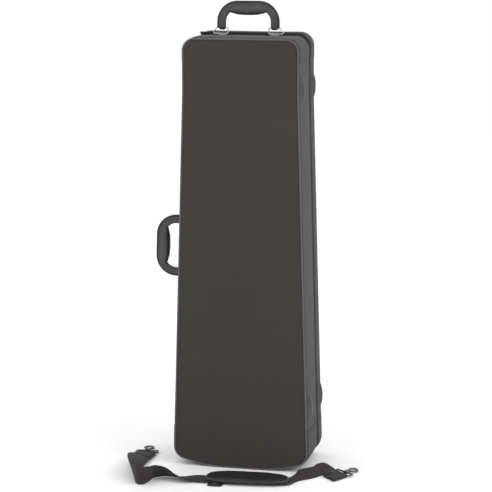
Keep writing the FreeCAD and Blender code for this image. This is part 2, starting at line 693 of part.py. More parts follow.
# ---------------------------------------------------------------- zip sliders and their pulls
def slider(prefix, x, way):
    """Saddle that rides over both coils on the top end, with a hinged pull."""
    y = num(SPLIT)
    length, width, high = num("d.slider_length"), num("d.slider_width"), num("d.slider_high")
    lug, lug_high, lug_thick = num("d.lug_length"), num("d.lug_high"), num("d.lug_thick")
    pin_radius, arm, tab_long = num("d.pull_pin"), num("d.pull_arm"), num("d.pull_tab")
    tab_wide, tab_thick = num("d.pull_wide"), num("d.pull_thick")
    deck = num("d.case_height") - num("d.coil_sunk") + num("d.slider_ride")
    pivot = deck + high + lug_thick
    through = Vector(0, 1, 0)
    body = Part.makeBox(length, width, high, Vector(x - length / 2, y - width / 2, deck))
    lugs = []
    for edge in (0.2 - width / 2, width / 2 - 0.2 - lug_thick):
        lugs.append(Part.makeBox(lug, lug_thick, lug_high, Vector(x - lug / 2, y + edge, deck + high)))
    bore = pin_radius + num("d.pivot_gap")
    hole = Part.makeCylinder(bore, 2 * width, Vector(x, y - width, pivot), through)
    saddle = group(prefix + "_slider", [body.fuse(lugs).removeSplitter().cut(hole)])
    node(saddle, prefix + "_slider")
    pin = Part.makeCylinder(pin_radius, width - 0.6, Vector(x, y - width / 2 + 0.3, pivot), through)
    link = Part.makeBox(arm, 4 * pin_radius, 2 * pin_radius,
                        Vector(x if way > 0 else x - arm, y - 2 * pin_radius, pivot - pin_radius))
    clear = length - 1
    tab = Part.makeBox(tab_long, tab_wide, tab_thick,
                       Vector(x + clear if way > 0 else x - clear - tab_long, y - tab_wide / 2, pivot - 0.7))
    pull = pin.fuse([link, tab]).removeSplitter()
    node(group(prefix + "_pull", [pull]), prefix + "_pull")


UPPER_SLIDER_X = -61.0
LOWER_SLIDER_X = -72.0
slider("upper", UPPER_SLIDER_X, 1)
slider("lower", LOWER_SLIDER_X, -1)


# ---------------------------------------------------------------- inside of the lid
def bow_holders():
    """Two turning clips and two tip pockets on the lid's lining."""
    inner_y = num(REAR) - num(LINED)
    z, high, knob_radius = num("d.bow_clip_z"), num("d.bow_clip_high"), num("d.bow_clip_radius")
    arm_long, arm_wide, screw = num("d.bow_arm"), num("d.bow_arm_wide"), num("d.screw_radius")
    front = inner_y - high - 0.3
    inward = Vector(0, 1, 0)
    head_high = 1.4
    screws = []
    for prefix, x in (("left", -num("d.bow_x")), ("right", num("d.bow_x"))):
        knob = Part.makeCylinder(knob_radius, high, Vector(x, front, z), inward)
        arm = Part.makeBox(arm_wide, high / 3, arm_long, Vector(x - arm_wide / 2, front, z - arm_long / 2))
        bore = Part.makeCylinder(screw + num("d.pivot_gap"), high + 2, Vector(x, front - 1, z), inward)
        node(group(prefix + "_bow_clip", [knob.fuse(arm).removeSplitter().cut(bore)]), prefix + "_bow_clip")
        shank = Part.makeCylinder(screw, high + 3.5, Vector(x, front - 0.2, z), inward)
        head = Part.makeCylinder(1.8 * screw, head_high, Vector(x, front - 0.2 - head_high, z), inward)
        screws.append(shank.fuse(head).removeSplitter())
    node(group("bow_clip_screws", screws), "bow_clip_screws")
    low, long, wall = num("d.tip_pocket_z"), num("d.tip_pocket_long"), num("d.pocket_wall")
    wide, deep = num("d.tip_pocket_wide"), num("d.tip_pocket_deep")
    pockets = []
    for x in (-num("d.bow_x"), num("d.bow_x")):
        outer = Part.makeBox(wide, deep, long, Vector(x - wide / 2, inner_y - deep, low))
        hollow = Part.makeBox(wide - 2 * wall, deep - wall, long - wall + 1,
                              Vector(x - wide / 2 + wall, inner_y - deep + wall, low - 1))
        pockets.append(outer.cut(hollow))
    node(group("bow_tip_pockets", pockets), "bow_tip_pockets")
    return screws


doc.recompute()
screw_shapes = bow_holders()
for label in ("lid_shell", "lid_lining"):
    drill(label, screw_shapes)


# ---------------------------------------------------------------- shoulder strap on the floor
# Each station is (edge that leads to the front, other edge), chosen by hand along the strap.
STRAP = [
    ((-213, -24, 4), (-177, -28, 4)),
    ((-212, -60, 14), (-176, -66, 6)),
    ((-203, -120, 31), (-172, -126, 8)),
    ((-184, -176, 36), (-168, -184, 3)),
    ((-163, -206, 36), (-160, -204, 1)),
    ((-149, -211, 36), (-148, -204, 1)),
    ((-138, -200, 34), (-143, -184, 1)),
    ((-133, -181, 31), (-139, -162, 1)),
    ((-119, -174, 27), (-125, -150, 1)),
    ((-107, -177, 23), (-114, -149, 1)),
    ((-94, -181, 16), (-102, -148, 1)),
    ((-77, -181, 9), (-86, -145, 2)),
    ((-58, -174, 5), (-66, -138, 4)),
    ((-36, -173, 4), (-44, -136, 4)),
    ((30, -168, 4), (30, -130, 4)),
    ((92, -158, 4), (90, -121, 4)),
    ((111, -149, 3), (104, -112, 4)),
    ((117, -131, 1), (111, -94, 6)),
    ((124, -118, 1), (115, -81, 10)),
    ((141, -101, 1), (137, -66, 13)),
    ((150, -89, 1), (143, -54, 15)),
    ((160, -76, 3), (156, -41, 14)),
    ((171, -84, 6), (176, -50, 7)),
]


def ribbon(stations, thick):
    """Thin band through the stations, thick across its face."""
    fronts = [Vector(*front) for front, rear in stations]
    rears = [Vector(*rear) for front, rear in stations]
    rings = []
    for index in range(len(stations)):
        before = max(index - 1, 0)
        after = min(index + 1, len(stations) - 1)
        along = (fronts[after] + rears[after] - fronts[before] - rears[before]).normalize()
        across = (rears[index] - fronts[index]).normalize()
        normal = across.cross(along).normalize() * (thick / 2)
        corners = [fronts[index] + normal, rears[index] + normal, rears[index] - normal, fronts[index] - normal]
        rings.append(Part.makePolygon(corners + corners[:1]))
    return Part.makeLoft(rings, True, True)


def shoulder_strap():
    thick = num("d.webbing_thick")
    node(group("strap_webbing", [ribbon(STRAP, thick)]), "strap_webbing")
    # Sewn ends: the left one wraps the swivel's bar, the right one lies under the last fold.
    left = [((-214, -14, 4), (-178, -18, 4)), ((-213, -24, 4), (-177, -28, 4)), ((-212, -58, 13), (-176, -64, 6))]
    node(group("strap_end_left", [ribbon(left, 2.2 * thick)]), "strap_end_left")
    right = [((186, -109, 3), (160, -83, 3)), ((206, -76, 3), (180, -50, 3))]
    node(group("strap_end_right", [ribbon(right, 2.2 * thick)]), "strap_end_right")

    length, width, depth = num("d.pad_length"), num("d.pad_width"), num("d.pad_thick")
    blank = Part.makeBox(length, width, depth, Vector(-length / 2, -width / 2, 0))
    upright = [edge for edge in blank.Edges if abs(edge.tangentAt(edge.FirstParameter).z) > 0.9]
    blank = blank.makeFillet(0.42 * width, upright)
    blank = blank.makeFillet(0.35 * depth, [edge for edge in blank.Edges if edge.CenterOfMass.z > depth - 0.1])
    cushion = group("strap_pad", [blank])
    cushion.Placement = Placement(Vector(31, -143, 5.5), Rotation(Vector(0, 0, 1), 5.0))
    node(cushion, "strap_pad")

    wide, long, flat, bar = num("d.frame_wide"), num("d.frame_long"), num("d.frame_thick"), num("d.frame_bar")
    frame = Part.makeBox(wide, long, flat, Vector(-wide / 2, -long / 2, 0))
    slot = (long - 2 * 3 - bar) / 2
    for y in (3 - long / 2, bar / 2):
        frame = frame.cut(Part.makeBox(wide - 2 * bar, slot, 2 * flat, Vector(bar - wide / 2, y, -flat / 2)))
    adjuster = group("strap_adjuster", [frame])
    adjuster.Placement = Placement(Vector(-22, -164, 0.2), Rotation(Vector(0, 0, 1), 5.0))
    node(adjuster, "strap_adjuster")


shoulder_strap()


# ---------------------------------------------------------------- snap hooks
BOSS = 6.5
NOSE = 10.3
ROOT_FROM = -155
TIP = 95
GATE = 150
EAR = 1.4


def snap_hook(prefix, place):
    """Swivel eye, hook body and sprung gate; local X runs from the webbing to the hook's nose."""
    rod, ring = num("d.hook_wire"), num("d.hook_radius")
    shank_radius, pin_radius, gap = num("d.swivel_radius"), num("d.gate_pin"), num("d.pivot_gap")
    along, up = Vector(1, 0, 0), Vector(0, 0, 1)
    side, back = num("d.eye_wide") / 2, -num("d.eye_long")
    spots = [Vector(back, -side, 0), Vector(0, -side, 0), Vector(0, side, 0), Vector(back, side, 0)]
    eye_wire = sweep_round(rounded_wire(spots, [3.0] * len(spots)), num("d.eye_wire"))
    boss = Part.makeCylinder(2 * shank_radius, BOSS, Vector(-1.5, 0, 0), along)
    bore = Part.makeCylinder(shank_radius + gap, 4 * BOSS, Vector(-BOSS, 0, 0), along)
    eye = group(prefix + "_swivel_eye", [eye_wire.fuse(boss).cut(bore)])
    eye.Placement = place
    node(eye, prefix + "_swivel_eye")

    shank = Part.makeCylinder(shank_radius, 10.0, Vector(-2.6, 0, 0), along)
    stop = Part.makeCylinder(shank_radius + 1.2, 0.9, Vector(-3.5, 0, 0), along)
    collar = Part.makeCylinder(shank_radius + 0.8, 4.1, Vector(BOSS - 1.2, 0, 0), along)
    centre = NOSE + ring

    def on_ring(degrees):
        angle = math.radians(degrees)
        return Vector(centre + ring * math.cos(angle), ring * math.sin(angle), 0)

    arc = Part.Arc(on_ring(ROOT_FROM), on_ring((ROOT_FROM + TIP) / 2), on_ring(TIP))
    bow = sweep_round(Part.Wire([arc.toShape()]), rod)
    pivot = on_ring(GATE)
    root = Part.Arc(on_ring(ROOT_FROM + 5), on_ring(-178), on_ring(GATE))
    root_rod = sweep_round(Part.Wire([root.toShape()]), rod)
    ear = Part.makeCylinder(3 * pin_radius, EAR, pivot - up * (EAR / 2), up)
    reach = 2 * EAR + 2 * rod
    fork = (EAR + 0.1) / 2
    slots = [Part.makeBox(2 * reach, 2 * reach, reach, pivot + Vector(-reach, -3.2, fork)),
             Part.makeBox(2 * reach, 2 * reach, reach, pivot + Vector(-reach, -3.2, -fork - reach))]
    pin_hole = Part.makeCylinder(pin_radius + gap, 4 * rod, pivot - up * 2 * rod, up)
    body = shank.fuse([stop, collar, bow, root_rod.cut(slots), ear]).removeSplitter().cut(pin_hole)
    hook = group(prefix + "_hook_body", [body])
    hook.Placement = place
    node(hook, prefix + "_hook_body")

    closing = on_ring(TIP) - Vector(rod * 0.4, 0, 0) - pivot
    bar = Part.makeCylinder(pin_radius + 0.5, closing.Length - rod - 0.5, pivot, closing)
    clear = Part.makeCylinder(3 * pin_radius + 0.25, EAR + 0.1, pivot - up * fork, up)
    cheek = 1.2
    cheeks = [Part.makeCylinder(2.4, cheek, pivot + up * low, up) for low in (fork + 0.05, -fork - 0.05 - cheek)]
    pin = Part.makeCylinder(pin_radius, 2 * (fork + cheek), pivot - up * (fork + cheek), up)
    gate = group(prefix + "_hook_gate", [bar.cut(clear).fuse(cheeks + [pin]).removeSplitter()])
    gate.Placement = place
    node(gate, prefix + "_hook_gate")


snap_hook("left", Placement(Vector(-198, -7, 3.7), Rotation(Vector(0, 0, 1), 97.0)))
snap_hook("right", Placement(Vector(197, -55, 3.7), Rotation(Vector(0, 0, 1), 52.0)))


# ---------------------------------------------------------------- check and write
doc.recompute()
for item in doc.Objects:
    if "Invalid" in item.State or "Error" in item.State:
        raise RuntimeError("feature failed: " + item.Name)
for item in nodes:
    if item.Shape.isNull() or not item.Shape.isValid():
        raise RuntimeError("faulty shape: " + item.Label)
os.makedirs("parts", exist_ok=True)
for item in nodes:
    item.Shape.exportStep("parts/%s.step" % item.Label)
    print("%-20s %10.0f mm3  %d solids" % (item.Label, item.Shape.Volume, len(item.Shape.Solids)))
print(len(nodes), "sub-parts")
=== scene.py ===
import json
import math
from bisect import bisect_right

import bmesh
import bpy
from mathutils import Matrix, Vector, noise

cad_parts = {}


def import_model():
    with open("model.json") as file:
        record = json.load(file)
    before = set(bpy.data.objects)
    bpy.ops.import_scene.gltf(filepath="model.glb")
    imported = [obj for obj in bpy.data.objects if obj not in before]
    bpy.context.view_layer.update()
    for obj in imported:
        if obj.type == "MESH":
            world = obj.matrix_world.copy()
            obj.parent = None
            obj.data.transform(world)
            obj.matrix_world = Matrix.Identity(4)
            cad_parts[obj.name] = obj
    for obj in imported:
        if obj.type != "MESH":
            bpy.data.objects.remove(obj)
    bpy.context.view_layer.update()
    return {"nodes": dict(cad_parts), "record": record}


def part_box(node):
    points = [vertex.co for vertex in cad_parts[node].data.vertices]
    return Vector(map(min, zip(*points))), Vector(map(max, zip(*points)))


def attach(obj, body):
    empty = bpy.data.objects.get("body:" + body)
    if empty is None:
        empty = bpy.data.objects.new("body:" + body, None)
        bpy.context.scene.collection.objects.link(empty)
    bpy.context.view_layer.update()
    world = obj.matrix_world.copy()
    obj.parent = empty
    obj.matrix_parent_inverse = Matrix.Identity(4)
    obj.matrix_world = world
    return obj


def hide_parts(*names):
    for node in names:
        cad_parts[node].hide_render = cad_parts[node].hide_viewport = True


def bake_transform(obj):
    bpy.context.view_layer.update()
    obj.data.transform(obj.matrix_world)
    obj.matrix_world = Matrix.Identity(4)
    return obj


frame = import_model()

MM = 0.001
ACROSS = Vector((0, 1, 0))
UP = Vector((0, 0, 1))


def linked(name, data):
    """New object in the scene."""
    made = bpy.data.objects.new(name, data)
    bpy.context.scene.collection.objects.link(made)
    return made


def middle_of(node, axis):
    """Middle of a node's box along an axis."""
    low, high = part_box(node)
    return (low[axis] + high[axis]) / 2


# ---------------- camera
CAMERA_PLACE = Vector((0.7548, -3.1900, 1.0000))
CAMERA_PAN = math.radians(13.4)
CAMERA_DIP = math.radians(10.19)
LENS = 130.68


def make_camera():
    """Long lens from the front right, a little above the case."""
    data = bpy.data.cameras.new("view_camera")
    data.lens = LENS
    data.sensor_width = 36.0
    data.clip_end = 60.0
    camera = linked("view_camera", data)
    look = Vector((-math.sin(CAMERA_PAN) * math.cos(CAMERA_DIP),
                   math.cos(CAMERA_PAN) * math.cos(CAMERA_DIP), -math.sin(CAMERA_DIP)))
    camera.location = CAMERA_PLACE
    camera.rotation_euler = look.to_track_quat("-Z", "Y").to_euler()
    bpy.context.scene.camera = camera


make_camera()

# ---------------- sizes, from the frame
HEAD_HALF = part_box("base_top_band")[1].x
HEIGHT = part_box("base_top_band")[1].z
LID_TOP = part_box("lid_top_band")[1].z
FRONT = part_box("base_panel")[0].y
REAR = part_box("lid_panel")[1].y
SPLIT = (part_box("base_zip_coil")[1].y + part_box("lid_zip_coil")[0].y) / 2
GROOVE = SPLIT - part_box("base_tail_band")[1].y
TAIL_HALF = 0.1285            # half-width at the tail end
TAIL_RISE = 0.017             # height of the tail end's corners over its middle
TAIL_FLAT = 0.062             # half-width of the flat that the case stands on
TAIL_BEND = 0.26              # radius at the ends of that flat
CORNER = 0.024
HEAD_LENGTH = 0.100           # straight length at the top end
PIPING = 0.0014               # half the piping's thickness
SEAM_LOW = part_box("base_tail_band")[1].z
SEAM_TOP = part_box("base_top_band")[0].z
HANDLE_X = middle_of("top_handle_grip", 0)
HANDLE_Y = middle_of("top_handle_grip", 1)
SIDE_HANDLE_Z = 0.404
FOOT_HEIGHTS = (0.122, 0.708)
COVER_SWELL = 0.0011          # the cover's padding, at the middle of a wall
COVER_LAP = 0.0007            # step where the end lengths lie over the side length


# ---------------- material helpers
class Nodes:
    """Short way to lay out a material's nodes."""

    def __init__(self, name):
        self.material = bpy.data.materials.new(name)
        self.material.use_nodes = True
        self.tree = self.material.node_tree
        self.shader = self.tree.nodes["Principled BSDF"]

    def add(self, kind, **settings):
        made = self.tree.nodes.new(kind)
        for key, value in settings.items():
            setattr(made, key, value)
        return made

    def link(self, source, target):
        self.tree.links.new(source, target)

    def value(self, socket, number):
        self.shader.inputs[socket].default_value = number

    def place(self, kind, scale=(1.0, 1.0, 1.0)):
        """Coordinates of a kind, UV on the surface or Object in space, in repeats per metre."""
        mapping = self.add("ShaderNodeMapping")
        mapping.inputs["Scale"].default_value = scale
        self.link(self.add("ShaderNodeTexCoord").outputs[kind], mapping.inputs["Vector"])
        return mapping.outputs["Vector"]

    def noise(self, vector, scale, detail):
        texture = self.add("ShaderNodeTexNoise")
        texture.inputs["Scale"].default_value = scale
        texture.inputs["Detail"].default_value = detail
        texture.inputs["Roughness"].default_value = 0.55
        self.link(vector, texture.inputs["Vector"])
        return texture.outputs["Fac"]

    def bands(self, vector, direction, scale):
        texture = self.add("ShaderNodeTexWave", wave_type="BANDS", bands_direction=direction)
        texture.inputs["Scale"].default_value = scale
        self.link(vector, texture.inputs["Vector"])
        return texture.outputs["Fac"]

    def math(self, operation, first, second, clamp=False):
        made = self.add("ShaderNodeMath", operation=operation, use_clamp=clamp)
        for socket, item in zip(made.inputs, (first, second)):
            if isinstance(item, (int, float)):
                socket.default_value = item
            else:
                self.link(item, socket)
        return made.outputs[0]

    def ramp(self, factor, stops):
        made = self.add("ShaderNodeValToRGB")
        while len(made.color_ramp.elements) < len(stops):
            made.color_ramp.elements.new(0.5)
        for element, (place, colour) in zip(made.color_ramp.elements, stops):
            element.position = place
            element.color = (*colour, 1.0)
        self.link(factor, made.inputs["Fac"])
        return made.outputs["Color"]

    def tones(self, factor, colour, dark, light):
        """Base colour between two shades of one colour; dark and light are (position, shade)."""
        self.colours(factor, [(place, [min(1.0, channel * shade) for channel in colour])
                              for place, shade in (dark, light)])

    def colours(self, factor, stops):
        self.link(self.ramp(factor, stops), self.shader.inputs["Base Color"])

    def roughness(self, factor, share, least):
        rough = self.math("ADD", self.math("MULTIPLY", factor, share), least)
        self.link(rough, self.shader.inputs["Roughness"])

    def bump(self, height, distance, strength):
        made = self.add("ShaderNodeBump")
        made.inputs["Distance"].default_value = distance
        made.inputs["Strength"].default_value = strength
        self.link(height, made.inputs["Height"])
        self.link(made.outputs["Normal"], self.shader.inputs["Normal"])


def woven(name, colour, thread, sheen=0.12, rough=0.82, twill=False):
    """Woven cloth: over-and-under threads on the surface's own coordinates, with painted shade that darkens
    the gaps between threads, faint streaks, worn patches.
    """
    n = Nodes(name)
    surface = n.place("UV")
    repeat = 1.0 / thread
    if twill:
        turned = n.add("ShaderNodeMapping")
        turned.inputs["Rotation"].default_value = (0.0, 0.0, math.radians(58.0))
        n.link(surface, turned.inputs["Vector"])
        weave = n.bands(turned.outputs["Vector"], "X", repeat * 0.30)
        across = n.bands(surface, "Y", repeat * 0.5)
        height = n.math("MULTIPLY_ADD", weave, 0.8)
        n.link(across, height.node.inputs[2])
    else:
        warp = n.bands(surface, "X", repeat * 0.5)
        weft = n.bands(surface, "Y", repeat * 0.5)
        checker = n.add("ShaderNodeTexChecker")
        checker.inputs["Scale"].default_value = repeat
        n.link(surface, checker.inputs["Vector"])
        over = n.math("MULTIPLY", warp, checker.outputs["Fac"])
        under = n.math("MULTIPLY", weft, n.math("SUBTRACT", 1.0, checker.outputs["Fac"]))
        height = n.math("ADD", over, under)
    streaks = n.noise(n.place("UV", (760.0, 120.0, 1.0)), 1.0, 2.0)
    patches = n.noise(n.place("Object"), 9.0, 4.0)
    fibres = n.noise(surface, 1400.0, 2.0)
    blend = n.math("ADD", n.math("MULTIPLY", streaks, 0.4), n.math("MULTIPLY", patches, 0.35))
    blend = n.math("ADD", blend, n.math("MULTIPLY", fibres, 0.30))
    # the weave's height goes into the colour too: painted shade in the gaps between threads, lighter thread
    # crowns
    blend = n.math("ADD", blend, n.math("MULTIPLY", height, 0.16), clamp=True)
    n.tones(blend, colour, (0.25, 0.72), (0.95, 1.34))
    n.roughness(patches, 0.12, rough - 0.06)
    n.value("Sheen Weight", sheen)
    n.value("Sheen Roughness", 0.45)
    n.value("Specular IOR Level", 0.25)
    n.bump(height, 0.00012, 0.8)
    return n.material


def leather(name, colour, rough=0.42, grain=900.0):
    """Smooth leatherette: pebble grain, soft creases, and lighter random patches that are partly rub wear
    and partly a painted sheen in the base colour.
    """
    n = Nodes(name)
    place = n.place("Object")
    cells = n.add("ShaderNodeTexVoronoi", feature="SMOOTH_F1")
    cells.inputs["Scale"].default_value = grain
    n.link(place, cells.inputs["Vector"])
    creases = n.noise(place, 70.0, 5.0)
    # lighter random patches: partly rub wear, partly a painted sheen that lightens the base colour
    rub_wear_and_painted_sheen = n.noise(place, 22.0, 3.0)
    height = n.math("ADD", n.math("MULTIPLY", cells.outputs["Distance"], 0.5), creases)
    n.tones(rub_wear_and_painted_sheen, colour, (0.3, 0.80), (0.75, 1.25))
    n.roughness(creases, 0.22, rough - 0.11)
    n.value("Specular IOR Level", 0.45)
    n.bump(height, 0.00018, 0.7)
    return n.material


def plush(name, colour):
    """Short velvet pile with brushed patches."""
    n = Nodes(name)
    place = n.place("Object")
    pile = n.noise(place, 1600.0, 2.0)
    brushed = n.noise(place, 14.0, 4.0)
    mix = n.math("ADD", n.math("MULTIPLY", pile, 0.4), n.math("MULTIPLY", brushed, 0.6))
    n.tones(mix, colour, (0.3, 0.65), (0.7, 1.35))
    n.value("Roughness", 0.95)
    n.value("Sheen Weight", 0.45)
    n.value("Sheen Roughness", 0.35)
    n.bump(mix, 0.0004, 0.6)
    return n.material


def metal(name, colour, rough, wear=0.12):
    """Plated metal with fine scratches and duller, handled patches."""
    n = Nodes(name)
    place = n.place("Object")
    scratches = n.noise(n.place("Object", (60.0, 900.0, 900.0)), 1.0, 3.0)
    dull = n.noise(place, 120.0, 4.0)
    n.tones(dull, colour, (0.35, 1.0 - wear), (0.7, 1.0 + wear))
    n.roughness(dull, 0.18, rough - 0.08)
    n.value("Metallic", 1.0)
    n.bump(scratches, 0.00002, 0.5)
    return n.material


def plastic(name, colour, rough, grain=500.0):
    """Moulded plastic with a fine spark texture and scuffs."""
    n = Nodes(name)
    place = n.place("Object")
    spark = n.noise(place, grain, 3.0)
    scuff = n.noise(place, 45.0, 5.0)
    n.tones(scuff, colour, (0.35, 0.85), (0.8, 1.35))
    n.roughness(scuff, 0.25, rough - 0.12)
    n.bump(spark, 0.00006, 0.8)
    return n.material


def ply(name):
    """Edge of the laminated shell: thin dark-stained layers of ply and foam."""
    n = Nodes(name)
    place = n.place("Object")
    layers = n.bands(place, "DIAGONAL", 260.0)
    fibre = n.noise(place, 240.0, 4.0)
    mix = n.math("ADD", n.math("MULTIPLY", layers, 0.5), n.math("MULTIPLY", fibre, 0.5))
    n.colours(mix, [(0.2, (0.020, 0.018, 0.017)), (0.8, (0.045, 0.041, 0.038))])
    n.value("Roughness", 0.85)
    n.bump(mix, 0.0002, 0.5)
    return n.material


COVER = woven("cover_cloth", (0.040, 0.0365, 0.0375), 0.0008)
PANEL = woven("panel_cloth", (0.040, 0.0345, 0.0345), 0.0008)
CORD = woven("piping_cloth", (0.105, 0.098, 0.096), 0.0007, rough=0.5, sheen=0.3)
TAPE = woven("zip_tape_cloth", (0.042, 0.039, 0.039), 0.0006)
WEBBING = woven("strap_webbing_cloth", (0.030, 0.027, 0.026), 0.0016, twill=True, sheen=0.05)
THREAD = woven("thread", (0.060, 0.056, 0.055), 0.0004, rough=0.6)
GRIP = leather("grip_leather", (0.052, 0.049, 0.050), 0.34)
BINDING = leather("binding_leather", (0.020, 0.019, 0.019), 0.50, 1400.0)
PAD_SKIN = leather("pad_leather", (0.016, 0.015, 0.015), 0.46)
PLUSH = plush("plush_lining", (0.045, 0.050, 0.075))
RIBBON = woven("satin_ribbon", (0.06, 0.06, 0.08), 0.0005, rough=0.4, sheen=0.3)
NICKEL = metal("nickel_plate", (0.66, 0.63, 0.60), 0.24)
CLIP_METAL = metal("clip_plate", (0.26, 0.25, 0.24), 0.34, 0.25)
DARK_METAL = metal("dark_plate", (0.17, 0.16, 0.16), 0.34, 0.3)
STEEL = metal("steel", (0.50, 0.50, 0.50), 0.35)
SLIDER = plastic("slider_paint", (0.03, 0.03, 0.03), 0.35)
FOOT = plastic("foot_plastic", (0.045, 0.043, 0.043), 0.30, 420.0)
CLIP = plastic("clip_plastic", (0.025, 0.025, 0.025), 0.3)
COIL = plastic("zip_coil_plastic", (0.032, 0.030, 0.030), 0.4)
PULL = plastic("pull_rubber", (0.020, 0.020, 0.020), 0.6)
SHELL = ply("shell_laminate")


def paint(item, material):
    item.data.materials.clear()
    item.data.materials.append(material)


def finished(made, material, body):
    """The object with its material and the body that it rides on."""
    paint(made, material)
    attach(made, body)
    return made


# ---------------- mesh helpers
def piece(name, verts, faces, material, body, uvs):
    """New smooth object from plain mesh data, riding on a body."""
    mesh = bpy.data.meshes.new(name)
    mesh.from_pydata([tuple(v) for v in verts], [], faces)
    layer = mesh.uv_layers.new(name="surface")
    layer.data.foreach_set("uv", [value for pair in uvs for value in pair])
    work = bmesh.new()
    work.from_mesh(mesh)
    bmesh.ops.recalc_face_normals(work, faces=work.faces)
    work.to_mesh(mesh)
    work.free()
    mesh.polygons.foreach_set("use_smooth", [True] * len(mesh.polygons))
    mesh.update()
    return finished(linked(name, mesh), material, body)


def grid_data(rows, us, vs, wrap_u=False, wrap_v=False, start=0):
    """Faces and per-corner coordinates of a grid of points rows[i][j]."""
    count_u, count_v = len(rows), len(rows[0])
    faces, uvs = [], []
    for i in range(count_u if wrap_u else count_u - 1):
        for j in range(count_v if wrap_v else count_v - 1):
            i2 = (i + 1) % count_u
            j2 = (j + 1) % count_v
            faces.append((start + i * count_v + j, start + i2 * count_v + j,
                          start + i2 * count_v + j2, start + i * count_v + j2))
            uvs += [(us[i], vs[j]), (us[i + 1], vs[j]), (us[i + 1], vs[j + 1]), (us[i], vs[j + 1])]
    return faces, uvs


def lengths(points, wrap):
    """Running length along points, with one more entry when they wrap."""
    run = [0.0]
    count = len(points)
    for index in range(count if wrap else count - 1):
        run.append(run[-1] + (points[(index + 1) % count] - points[index]).length)
    return run


def spot_at(run, target):
    """The stretch that holds a length along a run, and how far along it."""
    index = min(max(bisect_right(run, target) - 1, 0), len(run) - 2)
    return index, (target - run[index]) / max(run[index + 1] - run[index], 1e-9)


def cap_faces(rows, start):
    """Faces that close the first and the last row."""
    count = len(rows[0])
    last = start + (len(rows) - 1) * count
    return [tuple(range(start, start + count)), tuple(last + j for j in reversed(range(count)))]


def grid(name, rows, material, body, wrap_u=False, wrap_v=False, caps=False):
    """Quad surface through rows of points, with coordinates in metres along both ways."""
    middle = len(rows[0]) // 2
    us = lengths([row[middle] for row in rows], wrap_u)
    vs = lengths(rows[len(rows) // 2], wrap_v)
    faces, uvs = grid_data(rows, us, vs, wrap_u, wrap_v)
    if caps:
        faces += cap_faces(rows, 0)
        uvs += [(spot.x, spot.z) for spot in rows[0] + rows[-1][::-1]]
    return piece(name, [p for row in rows for p in row], faces, material, body, uvs)


def tube_rows(points, radius, sides, closed=False, up=None):
    """Rings of points round a path; the first ring is turned by the way that 'up' points."""
    rows = []
    count = len(points)
    normal = up
    for index, here in enumerate(points):
        before = points[(index - 1) % count] if closed or index else here
        after = points[(index + 1) % count] if closed or index < count - 1 else here
        along = (after - before).normalized()
        if normal is None:
            normal = along.orthogonal().normalized()
        side = along.cross(normal).normalized()
        normal = side.cross(along).normalized()
        rows.append([here + (side * math.cos(a) + normal * math.sin(a)) * radius
                     for a in (2 * math.pi * k / sides for k in range(sides))])
    return rows


def tube(name, points, radius, material, body, sides, closed=False, up=None):
    rows = tube_rows(points, radius, sides, closed, up)
    return grid(name, rows, material, body, wrap_u=closed, wrap_v=True, caps=not closed)


def many(name, parts, material, body):
    """One piece from many small grids, each given as (rows, wrap_u, wrap_v, caps)."""
    verts, faces, uvs = [], [], []
    for rows, wrap_u, wrap_v, caps in parts:
        start = len(verts)
        us = lengths([row[0] for row in rows], wrap_u)
        vs = lengths(rows[0], wrap_v)
        more, more_uv = grid_data(rows, us, vs, wrap_u, wrap_v, start)
        faces += more
        uvs += more_uv
        if caps:
            faces += cap_faces(rows, start)
            uvs += [(0.0, 0.0)] * (2 * len(rows[0]))
        verts += [p for row in rows for p in row]
    return piece(name, verts, faces, material, body, uvs)


def catmull(points, steps):
    """Smooth path through the points."""
    out = []
    count = len(points)
    for index in range(count - 1):
        p0 = points[max(index - 1, 0)]
        p1, p2 = points[index], points[index + 1]
        p3 = points[min(index + 2, count - 1)]
        for step in range(steps):
            t = step / steps
            out.append(0.5 * ((2 * p1) + (p2 - p0) * t + (2 * p0 - 5 * p1 + 4 * p2 - p3) * t * t
                              + (3 * p1 - p0 - 3 * p2 + p3) * t * t * t))
    out.append(points[-1].copy())
    return out


def squared(value, power):
    """A sine or cosine bent so that its curve has squarer shoulders."""
    return math.copysign(abs(value) ** power, value)


def wrinkle(place, size, amount, seed=0.0):
    """Smooth unevenness of stretched cloth."""
    return amount * noise.noise(Vector((place.x / size + seed, place.y / size - seed, place.z / size)))


# ---------------- outline of the case
def outline(height, spans=None):
    """Points and outward normals round the case, and how many pieces each straight is cut into."""
    right = [(TAIL_FLAT, 0.0, TAIL_BEND), (TAIL_HALF, TAIL_RISE, CORNER),
             (HEAD_HALF, HEIGHT - HEAD_LENGTH, 0.0), (HEAD_HALF, height, CORNER)]
    corners = right + [(-x, z, r) for x, z, r in reversed(right)]
    count = len(corners)
    cuts = []
    for index, (x, z, radius) in enumerate(corners):
        here = Vector((x, z))
        before = (Vector(corners[index - 1][:2]) - here).normalized()
        after = (Vector(corners[(index + 1) % count][:2]) - here).normalized()
        half = before.angle(after) / 2
        reach = radius / math.tan(half)
        centre = here + (before + after).normalized() * (radius / math.sin(half))
        cuts.append((here + before * reach, centre, here + after * reach, radius))
    points = []
    used = []
    for index, (first, centre, last, radius) in enumerate(cuts):
        if radius:
            steps = 12 if radius == CORNER else 8
            start = first - centre
            turn = -start.angle_signed(last - centre)
            for step in range(steps + 1):
                spoke = Matrix.Rotation(turn * step / steps, 2) @ start
                points.append((centre + spoke, spoke.normalized()))
        else:
            points.append((centre, Vector((math.copysign(1.0, centre.x), 0.02)).normalized()))
        end = cuts[(index + 1) % count][0]
        gap = end - last
        pieces = spans[index] if spans else max(2, round(gap.length / 0.008))
        used.append(pieces)
        normal = Vector((gap.y, -gap.x)).normalized()
        for step in range(1, pieces):
            points.append((last + gap * (step / pieces), normal))
    return points, used


BASE_LINE, SPANS = outline(HEIGHT)
LID_LINE, SPANS = outline(LID_TOP, SPANS)


